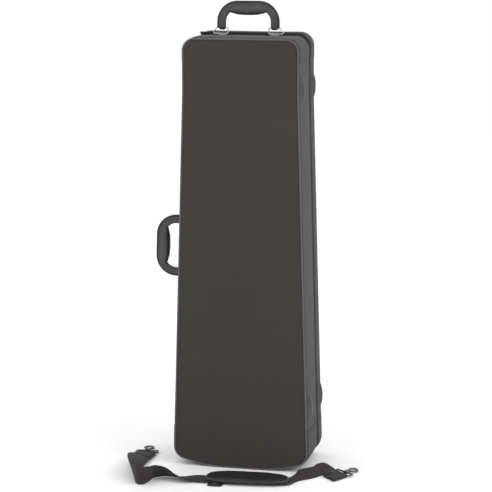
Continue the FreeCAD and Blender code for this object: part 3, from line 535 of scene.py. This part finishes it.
def snap_seams():
    """Move the nearest outline points onto both edges of each seam, so that the lap has a step."""
    for seam in (SEAM_LOW, SEAM_TOP):
        for side in (-1, 1):
            near = sorted((i for i in range(len(BASE_LINE)) if BASE_LINE[i][1].x * side > 0.9),
                          key=lambda i: abs(BASE_LINE[i][0].y - seam))[:2]
            lower, upper = sorted(near, key=lambda i: BASE_LINE[i][0].y)
            for index, z in ((lower, seam - 0.0003), (upper, seam + 0.0003)):
                for line in (BASE_LINE, LID_LINE):
                    spot, normal = line[index]
                    slide = z - spot.y
                    line[index] = (Vector((spot.x - slide * normal.y / normal.x, z)), normal)


snap_seams()


def place_on(index, proud, inset, y):
    """Point of the case's wall: proud 0 is the base's outline and 1 the lid's."""
    base, normal = BASE_LINE[index]
    lid, lid_normal = LID_LINE[index]
    spot = base.lerp(lid, proud) - normal.lerp(lid_normal, proud).normalized() * inset
    return Vector((spot.x, y, spot.y))


def normal_on(index):
    normal = BASE_LINE[index][1]
    return Vector((normal.x, 0.0, normal.y))


def half_width(z, inset, proud):
    """Half-width of the outline at height z, moved in by inset."""
    line = LID_LINE if proud else BASE_LINE
    right = [(p.y - n.y * inset, p.x - n.x * inset) for p, n in line[:len(line) // 2 + 1]]
    right = [pair for pair in right if pair[1] >= 0]
    right.sort()
    if z <= right[0][0]:
        return right[0][1]
    for (z0, x0), (z1, x1) in zip(right, right[1:]):
        if z0 <= z <= z1 and z1 > z0:
            return x0 + (x1 - x0) * (z - z0) / (z1 - z0)
    return right[-1][1]


COUNT = len(BASE_LINE)


# ---------------- the covered case
def half_facts(side):
    """Whether a half is the lid, its face's y, the way from there to the zip, and place_on's proud."""
    lid = side == "lid"
    return lid, (REAR if lid else FRONT), (-1.0 if lid else 1.0), (1.0 if lid else 0.0)


def soft_wall(name, side):
    """Side band of one half: cloth over the shell's edge, with lapped end lengths and a rolled rim."""
    lid, outer, way, proud = half_facts(side)
    rim = SPLIT + GROOVE if lid else SPLIT - GROOVE
    start = outer + way * 2 * PIPING
    depth = abs(rim - start)
    reach = 1.0 + 0.0006 / depth
    profile = [(0.0, 0.0036), (0.0, 0.0012), (0.0, 0.0)]
    profile += [(step / 14, 0.0) for step in range(1, 14)]
    profile += [(1.0 - 0.0012 / depth, 0.0002), (1.0 - 0.0002 / depth, 0.0006), (reach, 0.0014),
                (reach, 0.0018), (reach, 0.0028), (reach, 0.0056)]
    rows = []
    for index in range(COUNT):
        row = []
        normal = normal_on(index)
        z = BASE_LINE[index][0].y
        lap = COVER_LAP if (z < SEAM_LOW or z > SEAM_TOP) else 0.0
        for share, inset in profile:
            y = start + way * depth * share
            bulge = math.sin(math.pi * min(max(share, 0.0), 1.0))
            spot = place_on(index, 0.0 if inset > 0.005 else proud, inset, y)
            lift = COVER_SWELL * bulge + lap if inset < 0.001 else 0.0
            lift += wrinkle(spot, 0.05, 0.0006)
            if z < 0.004:
                lift = min(lift, 0.0)
            if lid and z > HEIGHT - 0.001:
                lift -= 0.0021 * math.exp(-(spot.x / 0.05) ** 2) * bulge
            row.append(spot + normal * lift)
        rows.append(row)
    if lid:
        rows = [list(reversed(row)) for row in rows]
    wall = grid(name, rows, COVER, side, wrap_u=True)
    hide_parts(side + "_tail_band", side + "_top_band", side + "_side_bands")
    return wall


def face_rows(side, inset, heights, widths, depth_at):
    """Rows of points over one half's face, closest at its rim, with their y from depth_at(x, z, edge)."""
    lid, _, _, proud = half_facts(side)
    top = LID_TOP if lid else HEIGHT
    rows = []
    for i in range(heights + 1):
        z = inset + (top - 2 * inset) * (0.5 - 0.5 * math.cos(math.pi * i / heights))
        half = half_width(z, inset, proud)
        row = []
        for j in range(widths + 1):
            x = -half * math.cos(math.pi * j / widths)
            edge = max(min(half - abs(x), z - inset, top - inset - z), 0.0)
            row.append(Vector((x, depth_at(x, z, edge), z)))
        rows.append(row)
    return rows


def crowned_panel(name, side, crown):
    """Padded face of one half, gently crowned towards its middle."""
    lid, outer, way, _ = half_facts(side)
    sunk = outer + way * 0.0012

    def depth_at(x, z, edge):
        rise = crown * (1 - math.exp(-edge / 0.016))
        roll = -0.0012 * math.exp(-max(edge - 0.0012, 0.0) / 0.0011)
        puff = wrinkle(Vector((x, sunk, z)), 0.11, 0.0007, 3.0) * min(1.0, edge / 0.03)
        return sunk - way * (rise + roll + puff)

    rows = face_rows(side, 0.6 * PIPING, 170, 48, depth_at)
    made = grid(name, rows if lid else [row[::-1] for row in rows], PANEL, side)
    for loop in made.data.loops:
        here = made.data.vertices[loop.vertex_index].co
        made.data.uv_layers[0].data[loop.index].uv = (here.x, here.z)
    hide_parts(side + "_panel")
    return made


def piping(name, side):
    """Cloth-wrapped cord round the face."""
    _, outer, way, proud = half_facts(side)
    path = [place_on(index, proud, PIPING, outer + way * PIPING) for index in range(COUNT)]
    made = tube(name, path, PIPING * 1.02, CORD, side, 12, closed=True, up=ACROSS)
    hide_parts(side + "_piping")
    return made


for half in ("base", "lid"):
    soft_wall(half + "_cover_wall", half)
    crowned_panel(half + "_cover_panel", half, 0.0022 if half == "base" else 0.0040)
    piping(half + "_piping_cord", half)


# ---------------- small helpers
def stitch_parts(path, lift, pitch, length, radius):
    """Short raised thread lengths along a path; lift is the way that leaves the cloth."""
    run = lengths(path, False)
    parts = []
    at = pitch / 2
    while at + length < run[-1]:
        ring_path = []
        for share, high in ((0.0, -0.5), (0.25, 0.6), (0.75, 0.6), (1.0, -0.5)):
            index, t = spot_at(run, at + length * share)
            ring_path.append(path[index].lerp(path[index + 1], t) + lift * (radius * high))
        parts.append((tube_rows(ring_path, radius, 5, up=lift), False, True, True))
        at += pitch
    return parts


def cleaned(node, width, segments):
    """A CAD node's mesh in a work mesh, with its sharp edges rounded."""
    work = bmesh.new()
    work.from_mesh(frame["nodes"][node].data)
    bmesh.ops.remove_doubles(work, verts=work.verts, dist=1e-6)
    bmesh.ops.dissolve_limit(work, angle_limit=math.radians(1.5), verts=work.verts, edges=work.edges)
    sharp = [edge for edge in work.edges if len(edge.link_faces) == 2
             and edge.calc_face_angle(0.0) > math.radians(35)]
    bmesh.ops.bevel(work, geom=sharp, offset=width, segments=segments, affect="EDGES", clamp_overlap=True)
    return work


def stand_for(node, work, material, name, body):
    """Object from a work mesh that takes a CAD node's place."""
    mesh = bpy.data.meshes.new(name)
    work.to_mesh(mesh)
    work.free()
    mesh.polygons.foreach_set("use_smooth", [True] * len(mesh.polygons))
    made = finished(linked(name, mesh), material, body)
    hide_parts(node)
    return made


SKIN_VOXEL = 0.0026           # grid that a cushion's skin is rebuilt on
SKIN_VOXEL_THIN = 0.0015      # the same for a thin covered board
CUSHION_EDGE = 0.0030         # a piece with edges this round or rounder is a cushion
SKIN_WAVE = 0.03              # spacing and height of the skin's unevenness
SKIN_UNEVEN = 0.0004


def softened(node, body, width):
    """A padded look for a CAD piece: an even plush skin with rolled edges and slightly uneven cloth."""
    name = node + "_padded"
    source = cleaned(node, width, 3)
    bmesh.ops.triangulate(source, faces=source.faces)
    mesh = bpy.data.meshes.new(name + "_core")
    source.to_mesh(mesh)
    source.free()
    core = linked(name + "_core", mesh)
    remesh = core.modifiers.new("skin", "REMESH")
    remesh.mode = "VOXEL"
    remesh.voxel_size = SKIN_VOXEL if width >= CUSHION_EDGE else SKIN_VOXEL_THIN
    skin = bpy.data.meshes.new_from_object(core.evaluated_get(bpy.context.evaluated_depsgraph_get()))
    work = bmesh.new()
    work.from_mesh(skin)
    bpy.data.objects.remove(core)
    bpy.data.meshes.remove(mesh)
    bpy.data.meshes.remove(skin)
    for _ in range(4):
        bmesh.ops.smooth_vert(work, verts=work.verts, factor=0.5, use_axis_x=True, use_axis_y=True,
                              use_axis_z=True)
    work.normal_update()
    low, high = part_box(node)
    for vertex in work.verts:
        rise = wrinkle(vertex.co, SKIN_WAVE, SKIN_UNEVEN) - SKIN_UNEVEN * 0.5
        spot = vertex.co + vertex.normal * rise
        vertex.co = Vector([min(max(spot[axis], low[axis]), high[axis]) for axis in range(3)])
    return stand_for(node, work, PLUSH, name, body)


def eased(node, material, name, body, width=0.0004, segments=2):
    """A hard CAD piece with its edges broken by a small round, as moulded or cast parts have."""
    made = stand_for(node, cleaned(node, width, segments), material, name, body)
    made.data.set_sharp_from_angle(angle=math.radians(38))
    return made


def frame_of(y, z, side):
    """A fitting's place on a side wall, and its axes up the wall and out of it."""
    sloping = HEIGHT - HEAD_LENGTH - TAIL_RISE
    slope = (TAIL_HALF - HEAD_HALF) / sloping if z < HEIGHT - HEAD_LENGTH else 0.0
    up = Vector((-side * slope, 0.0, 1.0)).normalized()
    out = Vector((side, 0.0, slope)).normalized()
    return Vector((side * half_width(z, 0.0, False), y, z)), up, out


# ---------------- zip
HINGE_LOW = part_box("hinge_strip")[0].z
HINGE_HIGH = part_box("hinge_strip")[1].z


def zip_indices():
    """Outline points that the zip follows: from the top of the hinge round to its foot."""
    hinge = [i for i in range(COUNT) if BASE_LINE[i][1].x > 0.9
             and HINGE_LOW <= BASE_LINE[i][0].y <= HINGE_HIGH]
    first, last = max(hinge), min(hinge)
    return [(first + step) % COUNT for step in range((last - first) % COUNT + 1)]


ZIP = zip_indices()
HINGED = range(ZIP[-1], ZIP[0] + 1)
COIL_TURN = 0.00125           # length of zip that one turn of the coil takes
COIL_STEPS = 6                # points in one turn
COIL_WIRE = 0.00034


def zip_half(side):
    """Tape, coil and stitches of one half of the zip."""
    way = 1.0 if side == "lid" else -1.0
    profile = [(0.0032, 2.2), (0.0024, 2.15), (0.0023, 2.6), (0.00245, 4.5), (0.0025, 7.6)]
    rows = [[place_on(index, 0.0, inset, SPLIT + way * off * MM) for inset, off in profile]
            for index in ZIP]
    tape = grid(side + "_tape_cloth", rows, TAPE, side)
    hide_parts(side + "_zip_tape")
    path = [place_on(index, 0.0, 0.0028, SPLIT + way * 0.00115) for index in ZIP]
    outs = [normal_on(index) for index in ZIP]
    run = lengths(path, False)
    count = int(run[-1] / COIL_TURN) * COIL_STEPS
    points = []
    for step in range(count):
        index, t = spot_at(run, run[-1] * step / count)
        spot = path[index].lerp(path[index + 1], t)
        out = outs[index].lerp(outs[index + 1], t)
        angle = 2 * math.pi * step / COIL_STEPS
        points.append(spot + out * (0.00062 * math.sin(angle))
                      + Vector((0, way * 0.00068 * math.cos(angle), 0)))
    coil = tube(side + "_coil", points, COIL_WIRE, COIL, side, 4)
    thread = stitch_parts([place_on(i, 0.0, 0.0022, SPLIT + way * 0.0056) for i in ZIP],
                          Vector((0, 0, 0.2)), 0.0030, 0.0022, 0.00022)
    many(side + "_tape_stitches", thread, THREAD, side)
    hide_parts(side + "_zip_coil")


zip_half("base")
zip_half("lid")


def hinge_cloth():
    """Cloth hinge: a soft strip along the wall with a shallow fold over the split."""
    rows = []
    for index in HINGED:
        row = []
        for step in range(17):
            y = SPLIT + (step / 16 - 0.5) * 2 * (GROOVE + 0.0006)
            fold = 0.0009 * math.cos(math.pi * (step / 16 - 0.5) * 2) * 0.5
            row.append(place_on(index, 0.0, 0.0016 - fold + 0.0002 * math.sin(step * 2.1), y))
        rows.append(row)
    made = grid("hinge_cloth", rows, COVER, "base")
    made.parent = None
    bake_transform(made)
    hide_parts("hinge_strip")


hinge_cloth()


# ---------------- seams and stitches of the cover
def wall_stitches(side):
    """Thread along the laps at both ends of the side length."""
    lid, _, _, proud = half_facts(side)
    span = (SPLIT + GROOVE + 0.002, REAR - 0.005) if lid else (FRONT + 0.005, SPLIT - GROOVE - 0.002)
    parts = []
    for z, shift in ((SEAM_LOW, -0.0022), (SEAM_TOP, 0.0022)):
        for index in (i for i in range(COUNT) if abs(BASE_LINE[i][1].x) > 0.9
                      and abs(BASE_LINE[i][0].y - (z + shift)) < 0.0045):
            here = BASE_LINE[index][0].y
            if abs(here - (z + shift)) > 0.0022 and shift * (here - z) < 0:
                continue
            out = normal_on(index)
            path = []
            for step in range(15):
                y = span[0] + (span[1] - span[0]) * step / 14
                swell = COVER_SWELL * math.sin(math.pi * (y - span[0]) / (span[1] - span[0]))
                path.append(place_on(index, proud, -0.0009 - swell, y))
            parts += stitch_parts(path, out, 0.0034, 0.0024, 0.0003)
            break
    many(side + "_seam_stitches", parts, THREAD, side)


wall_stitches("base")
wall_stitches("lid")


# ---------------- inside
def lining(side):
    """Plush lining of one half: rolled over the shell's rim, down the wall and across the floor."""
    lid, _, way, proud = half_facts(side)
    low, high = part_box(side + "_lining")
    floor_y = high.y if lid else low.y
    depth = high.y - low.y
    profile = [(0.0077, 1.0), (0.0080, 1.0), (0.0090, 0.998), (0.0096, 0.985)]
    profile += [(0.0097 + 0.0003 * math.sin(3 * s), 0.97 - 0.80 * s)
                for s in (0.1, 0.25, 0.4, 0.55, 0.7, 0.85, 1.0)]
    profile += [(0.0102, 0.10), (0.0122, 0.055), (0.0155, 0.035)]
    rows = []
    for index in range(COUNT):
        row = []
        for inset, share in profile:
            spot = place_on(index, proud, inset, floor_y + way * depth * share)
            row.append(spot + normal_on(index) * -abs(wrinkle(spot, 0.03, 0.0005, 7.0)))
        rows.append(row)
    wall = grid(side + "_lining_wall", rows, PLUSH, side, wrap_u=True)

    def depth_at(x, z, edge):
        rise = 0.0019 + 0.0012 * (1 - math.exp(-edge / 0.01))
        return floor_y + way * (rise + wrinkle(Vector((x, 0.0, z)), 0.04, 0.0005, 5.0))

    grid(side + "_lining_floor", face_rows(side, 0.0145, 120, 30, depth_at), PLUSH, side)
    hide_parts(side + "_lining")


lining("base")
lining("lid")
for label, body, edge in (("tail_cushion", "base", 0.0040), ("waist_cushions", "base", 0.0040),
                          ("neck_cradle", "base", 0.0030), ("accessory_wall", "base", 0.0025),
                          ("accessory_lid", "accessory_cover", 0.0012), ("bow_tip_pockets", "lid", 0.0012)):
    made = softened(label, body, edge)
eased("neck_strap", RIBBON, "neck_strap_cloth", "neck_strap")
eased("accessory_tab", RIBBON, "accessory_tab_cloth", "accessory_cover")


# ---------------- handles
GRIP_WIDTH = 0.117            # over the binding, as is the height
GRIP_HEIGHT = 0.064
GRIP_INSET = 0.0025           # from the binding's outside to the grip's
GRIP_FOOT = 0.011             # height of the grip's ends over the case
GRIP_BEND = 0.036
GRIP_DEPTH = 0.0138           # of the legs; the belly between them is deeper and thicker
GRIP_THICK = 0.0102
GRIP_ROUND = 0.62             # under 1 squares the section's corners


def handle_look(prefix, place, along, out):
    """Padded grip with a leather binding whip-stitched round its outer edge."""
    span = GRIP_WIDTH / 2 - GRIP_INSET
    rise = GRIP_HEIGHT - GRIP_INSET
    foot, bend = GRIP_FOOT, GRIP_BEND
    path = []
    for step in range(8):
        path.append((Vector((-span, foot + (rise - bend - foot) * step / 8)), Vector((-1.0, 0.0))))
    for step in range(15):
        angle = math.pi - math.pi / 2 * step / 14
        spoke = Vector((math.cos(angle), math.sin(angle)))
        path.append((Vector((-span + bend, rise - bend)) + spoke * bend, spoke))
    one_side = list(path)
    width = 2 * (span - bend)
    for step in range(1, 12):
        path.append((Vector((-span + bend + width * step / 12, rise)), Vector((0.0, 1.0))))
    full = path + [(Vector((-p.x, p.y)), Vector((-n.x, n.y))) for p, n in reversed(one_side)]

    def world(flat, y):
        return place + along * flat.x + out * flat.y + ACROSS * y

    sides = 56
    band = 0.0062
    rows = []
    count = len(full)
    for index, (spot, normal) in enumerate(full):
        share = abs(spot.x) / (span - 0.014)
        belly = max(0.0, 1.0 - share ** 2.4) if share < 1 else 0.0
        belly = belly ** 0.55 if spot.y > foot + 0.02 else 0.0
        deep = GRIP_DEPTH + 0.0098 * belly
        thick = GRIP_THICK + 0.0086 * belly
        end = min(index, count - 1 - index)
        shrink = (0.55, 0.86, 1.0)[min(end, 2)]
        centre = spot - normal * (deep / 2)
        row = []
        for k in range(sides):
            angle = 2 * math.pi * k / sides
            c, s = math.cos(angle), math.sin(angle)
            across = squared(c, GRIP_ROUND) * deep / 2 * shrink
            from_rim = deep / 2 - across
            inner = min(max((from_rim - band) / (deep - band), 0.0), 1.0)
            lens = (4 * inner * (1 - inner)) ** 0.5 if from_rim > band else 0.0
            fat = 0.0100 + (thick - 0.0100) * (0.25 + 0.75 * lens) if from_rim > band else 0.0100
            side_way = squared(s, GRIP_ROUND) * fat / 2 * shrink
            crease = 0.0014 * math.exp(-((from_rim - band) / 0.0009) ** 2)
            side_way -= math.copysign(crease, side_way) if abs(side_way) > 0.003 else 0.0
            pinch = wrinkle(Vector((spot.x, spot.y, angle * 0.01)), 0.012, 0.0003, 11.0)
            row.append(world(centre + normal * across, side_way + math.copysign(pinch, s)))
        rows.append(row)
    grip = grid(prefix + "_grip_leather", rows, GRIP, prefix, wrap_v=True, caps=True)
    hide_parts(prefix + "_grip")

    rows = []
    trimmed = full[2:-2]
    for index, (spot, normal) in enumerate(trimmed):
        centre = spot + normal * 0.0009
        row = []
        for k in range(14):
            angle = 2 * math.pi * k / 14
            c, s = math.cos(angle), math.sin(angle)
            bead = 1.0 + 0.05 * math.sin(index * 2.6)
            row.append(world(centre + normal * (squared(c, 0.7) * 0.0016 * bead),
                             squared(s, 0.7) * 0.0034 * bead))
        rows.append(row)
    strip = grid(prefix + "_binding_leather", rows, BINDING, prefix, wrap_v=True, caps=True)
    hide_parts(prefix + "_binding")

    parts = []
    run = lengths([Vector((p.x, p.y, 0.0)) for p, n in trimmed], False)
    at = 0.002
    while at < run[-1] - 0.002:
        index, t = spot_at(run, at)
        spot = trimmed[index][0].lerp(trimmed[index + 1][0], t)
        normal = trimmed[index][1].lerp(trimmed[index + 1][1], t).normalized()
        lean = Vector((-normal.y, normal.x)) * 0.0011
        for face in (-1, 1):
            ring_path = [world(spot + normal * back + lean * shift, face * side_way)
                         for back, shift, side_way in ((-0.0026, 0.0, 0.0040), (-0.0010, 0.35, 0.0045),
                                                       (0.0010, 0.7, 0.0041), (0.0024, 1.0, 0.0022))]
            parts.append((tube_rows(ring_path, 0.00042, 6, up=ACROSS), False, True, True))
        at += 0.0034
    many(prefix + "_whip_stitches", parts, THREAD, prefix)


handle_look("top_handle", Vector((HANDLE_X, HANDLE_Y, HEIGHT)), Vector((1, 0, 0)), UP)
handle_look("side_handle", *frame_of(HANDLE_Y, SIDE_HANDLE_Z, -1))


# ---------------- feet
def foot_rows(place, up, out):
    """Long lens-shaped foot with pointed tips, hollowed flanks and a rounded ridge."""
    length, width, height = 0.052, 0.019, 0.0075
    rows = []
    for i in range(41):
        s = -math.cos(math.pi * i / 40)
        half = width / 2 * max(1 - s * s, 0.0) ** 0.8 + 0.00005
        ridge = height * (0.10 + 0.90 * max(1 - abs(s) ** 2.4, 0.0) ** 0.8)
        rim = min(0.0020, ridge * 0.5)
        row = []
        for j in range(29):
            v = -math.cos(math.pi * j / 28)
            flank = min(max((1 - abs(v)) / 0.90, 0.0), 1.0)
            rise = rim + (ridge - rim) * (flank ** 2.1 * (3 - 2 * flank) ** 0.9 if flank < 1 else 1.0)
            if abs(v) > 0.985:
                rise = 0.0
            row.append(place + up * (s * length / 2) + ACROSS * (v * half) + out * min(rise, height))
        rows.append(row)
    return rows


for half in ("base", "lid"):
    foot_y = middle_of(half + "_feet", 1)
    parts = [(foot_rows(*frame_of(foot_y, foot_z, 1)), False, False, False) for foot_z in FOOT_HEIGHTS]
    feet = many(half + "_feet_moulded", parts, FOOT, half)
    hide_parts(half + "_feet")

# ---------------- small hard parts
for label in ("upper", "lower"):
    eased(label + "_slider", SLIDER, label + "_slider_cast", label + "_slider", 0.0005, 3)
    eased(label + "_pull", PULL, label + "_pull_moulded", label + "_pull", 0.0007, 3)
for label in ("left", "right"):
    clip = label + "_bow_clip"
    eased(clip, CLIP, clip + "_moulded", clip, 0.0008, 3)
eased("strap_adjuster", CLIP, "strap_adjuster_moulded", "strap_adjuster", 0.0007, 3)
for prefix in ("top_handle", "side_handle"):
    eased(prefix + "_clips", CLIP_METAL, prefix + "_clips_plated", "base", 0.0003, 2)

# ---------------- shoulder strap
# front and rear edge of the webbing at each place along it, in millimetres
STATIONS = [
    ((-213, -24, 4), (-177, -28, 4)), ((-212, -60, 14), (-176, -66, 6)),
    ((-203, -120, 31), (-172, -126, 8)), ((-184, -176, 36), (-168, -184, 3)),
    ((-163, -206, 36), (-160, -204, 1)), ((-149, -211, 36), (-148, -204, 1)),
    ((-138, -200, 34), (-143, -184, 1)), ((-133, -181, 31), (-139, -162, 1)),
    ((-119, -174, 27), (-125, -150, 1)), ((-107, -177, 23), (-114, -149, 1)),
    ((-94, -181, 16), (-102, -148, 1)), ((-77, -181, 9), (-86, -145, 2)),
    ((-58, -174, 5), (-66, -138, 4)), ((-36, -173, 4), (-44, -136, 4)), ((30, -168, 4), (30, -130, 4)),
    ((92, -158, 4), (90, -121, 4)), ((111, -149, 3), (104, -112, 4)), ((117, -131, 1), (111, -94, 6)),
    ((124, -118, 1), (115, -81, 10)), ((141, -101, 1), (137, -66, 13)), ((150, -89, 1), (143, -54, 15)),
    ((160, -76, 3), (156, -41, 14)), ((171, -84, 6), (176, -50, 7)),
]


STRAP_TURN = math.radians(5.0)          # of the pad and the adjuster, from the X axis


def ribbon_rows(stations, thick, steps, bow=0.0):
    """Closed sections of webbing through pairs of edge points."""
    across = 12
    fronts = catmull([Vector(front) * MM for front, rear in stations], steps)
    rears = catmull([Vector(rear) * MM for front, rear in stations], steps)
    rows = []
    middles = []
    count = len(fronts)
    for index in range(count):
        before = max(index - 1, 0)
        after = min(index + 1, count - 1)
        along = (fronts[after] + rears[after] - fronts[before] - rears[before]).normalized()
        side = rears[index] - fronts[index]
        normal = side.normalized().cross(along).normalized()
        top = []
        bottom = []
        for k in range(across + 1):
            t = k / across
            rounding = 1.0 if 0 < k < across else 0.45
            spot = fronts[index] + side * t
            curl = normal * (bow * math.sin(math.pi * t) + wrinkle(spot, 0.02, 0.00025, 2.0))
            half = normal * (thick / 2 * rounding)
            top.append(spot + curl + half)
            bottom.append(spot + curl - half)
        row = top + list(reversed(bottom))
        for spot in row:
            spot.z = max(spot.z, 0.0003)
        rows.append(row)
        middles.append((fronts[index] + rears[index]) / 2)
    width = sum((rears[i] - fronts[i]).length for i in range(count)) / count
    return rows, lengths(middles, False)[-1], width, fronts, rears


def webbing_look():
    """The strap's webbing, and its two sewn ends with box stitches."""
    rows, long, wide, fronts, rears = ribbon_rows(STATIONS, 0.0019, 9)
    band = grid("strap_webbing_woven", rows, WEBBING, "strap", wrap_v=True, caps=True)
    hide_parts("strap_webbing")
    ends = {
        "strap_end_left": [((-214, -14, 4), (-178, -18, 4)), ((-213, -24, 4), (-177, -28, 4)),
                           ((-212, -58, 13), (-176, -64, 6))],
        "strap_end_right": [((186, -109, 3), (160, -83, 3)), ((206, -76, 3), (180, -50, 3))],
    }
    for label, stations in ends.items():
        rows, long, wide, fronts, rears = ribbon_rows(stations, 0.0044, 12, bow=0.0003)
        end = grid(label + "_sewn", rows, WEBBING, "strap", wrap_v=True, caps=True)
        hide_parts(label)
        parts = []
        count = len(fronts)
        sides = [[fronts[i].lerp(rears[i], share) for i in range(int(count * 0.12), int(count * 0.88))]
                 for share in (0.10, 0.90)]
        ends_of_box = [[fronts[i].lerp(rears[i], 0.1 + 0.8 * k / 8) for k in range(9)]
                       for i in (int((count - 1) * 0.14), int((count - 1) * 0.86))]
        for path in sides + ends_of_box:
            parts += stitch_parts([p + UP * 0.0024 for p in path], UP, 0.0026, 0.0019, 0.0003)
        many(label + "_box_stitches", parts, THREAD, "strap")


webbing_look()


def adjuster_webbing():
    """End of the webbing turned back over the adjuster's middle bar."""
    low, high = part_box("strap_adjuster")
    centre = (low + high) / 2
    turn = Matrix.Rotation(STRAP_TURN, 3, "Z")
    line = [(-0.0135, 0.0009), (-0.0105, 0.0010), (-0.0070, 0.0014), (-0.0035, 0.0030), (0.0035, 0.0030),
            (0.0070, 0.0014), (0.0105, 0.0010), (0.0135, 0.0009)]
    path = catmull([Vector((x, 0.0, z)) for x, z in line], 5)
    half_wide, half_thick = 0.0185, 0.0007
    section = [(half_wide * (k / 6 - 1), half_thick) for k in range(13)]
    section += [(half_wide * (1 - k / 6), -half_thick) for k in range(13)]
    rows = []
    for spot in path:
        row = []
        for y, z in section:
            flat = turn @ Vector((spot.x, y, 0.0)) + centre
            row.append(Vector((flat.x, flat.y, max(spot.z + z, 0.0002))))
        rows.append(row)
    grid("adjuster_webbing", rows, WEBBING, "strap_adjuster", wrap_v=True, caps=True)


adjuster_webbing()


def pad_look():
    """Foam shoulder pad: leatherette top and back sewn together a little inside the rim."""
    low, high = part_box("strap_pad")
    centre = Vector((0.031, (low.y + high.y) / 2, low.z))
    turn = Matrix.Rotation(STRAP_TURN, 3, "Z")
    half_long, half_wide = 0.077, 0.030
    thick = high.z - low.z
    rings = 26
    around = 96
    seam_at = 0.87            # share of the way out to the rim

    def plan(step, share):
        """Place over the floor of a point of the pad's plan."""
        c, s = math.cos(2 * math.pi * step / around), math.sin(2 * math.pi * step / around)
        x = squared(c, 0.55) * half_long * share
        taper = 1.0 - 0.10 * max(0.0, x / half_long)
        y = squared(s, 0.62) * half_wide * share * taper
        return turn @ Vector((x, y, 0.0)) + centre

    def crown_at(share):
        return thick * (0.30 + 0.34 * (1 - math.exp((share - 1.0) / 0.07)) + 0.36 * (1 - share * share))

    rows = []
    for upper in (True, False):
        order = range(rings + 1) if upper else range(rings - 1, -1, -1)
        for ring in order:
            share = 0.02 + 0.98 * math.sin(math.pi / 2 * ring / rings)
            row = []
            for k in range(around):
                spot = plan(k, share)
                if upper:
                    seam = 0.0011 * math.exp(-((share - seam_at) / 0.03) ** 2)
                    lip = thick * 0.165 * max(0.0, (share - 0.95) / 0.05)
                    z = crown_at(share) - seam - lip
                    z += wrinkle(spot, 0.018, 0.0005, 4.0) * min(1.0, (1.0 - share) / 0.1)
                else:
                    z = thick * 0.16 * max(0.0, (share - 0.85) / 0.15)
                row.append(Vector((spot.x, spot.y, low.z + min(max(z, 0.0), thick))))
            rows.append(row)
    pad = grid("strap_pad_leather", rows, PAD_SKIN, "strap", wrap_v=True, caps=True)
    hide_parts("strap_pad")
    ring_path = []
    for k in range(around + 1):
        spot = plan(k, seam_at)
        ring_path.append(Vector((spot.x, spot.y, low.z + crown_at(seam_at) - 0.0008)))
    parts = stitch_parts(ring_path, UP, 0.0034, 0.0026, 0.0003)
    many("strap_pad_stitches", parts, THREAD, "strap")


pad_look()


# ---------------- stage and light
def stage():
    """White floor, even white surroundings and three soft lamps."""
    mesh = bpy.data.meshes.new("floor")
    size = 30.0
    corners = [(-size, -size, 0), (size, -size, 0), (size, size, 0), (-size, size, 0)]
    mesh.from_pydata(corners, [], [(0, 1, 2, 3)])
    floor = linked("floor", mesh)
    n = Nodes("floor_paint")
    n.value("Base Color", (1.0, 1.0, 1.0, 1.0))
    n.value("Roughness", 0.9)
    n.value("Specular IOR Level", 0.1)
    paint(floor, n.material)
    world = bpy.data.worlds.new("studio")
    world.use_nodes = True
    background = world.node_tree.nodes["Background"]
    background.inputs["Color"].default_value = (1.0, 1.0, 1.0, 1.0)
    background.inputs["Strength"].default_value = 1.02
    bpy.context.scene.world = world

    def lamp(name, place, target, size, power):
        data = bpy.data.lights.new(name, "AREA")
        data.shape = "RECTANGLE"
        data.size = size
        data.size_y = size
        data.energy = power
        made = linked(name, data)
        made.location = place
        made.rotation_euler = (Vector(target) - Vector(place)).to_track_quat("-Z", "Y").to_euler()

    lamp("key_light", (2.6, -1.2, 2.4), (0.0, 0.0, 0.4), 1.6, 20.0)
    lamp("front_fill", (-1.6, -3.2, 2.6), (0.0, 0.0, 0.5), 2.2, 9.0)
    lamp("top_light", (0.0, 0.4, 3.4), (0.0, 0.0, 0.4), 2.4, 4.0)
    bpy.context.scene.view_settings.view_transform = "Standard"


stage()

PLAIN = {
    "cover_fabric": COVER, "panel_fabric": PANEL, "piping": CORD, "shell": SHELL, "plush": PLUSH,
    "zip_tape": TAPE, "zip_coil": COIL, "ribbon": RIBBON, "grip": GRIP, "binding": BINDING,
    "plated_wire": NICKEL, "foot_plastic": FOOT, "steel": STEEL, "slider_metal": SLIDER,
    "pull_rubber": PULL, "clip_plastic": CLIP, "webbing": WEBBING, "pad_skin": PAD_SKIN,
    "hook_metal": DARK_METAL,
}
for entry in frame["record"]["subparts"]:
    paint(frame["nodes"][entry["node"]], PLAIN[entry["material_slot"]])
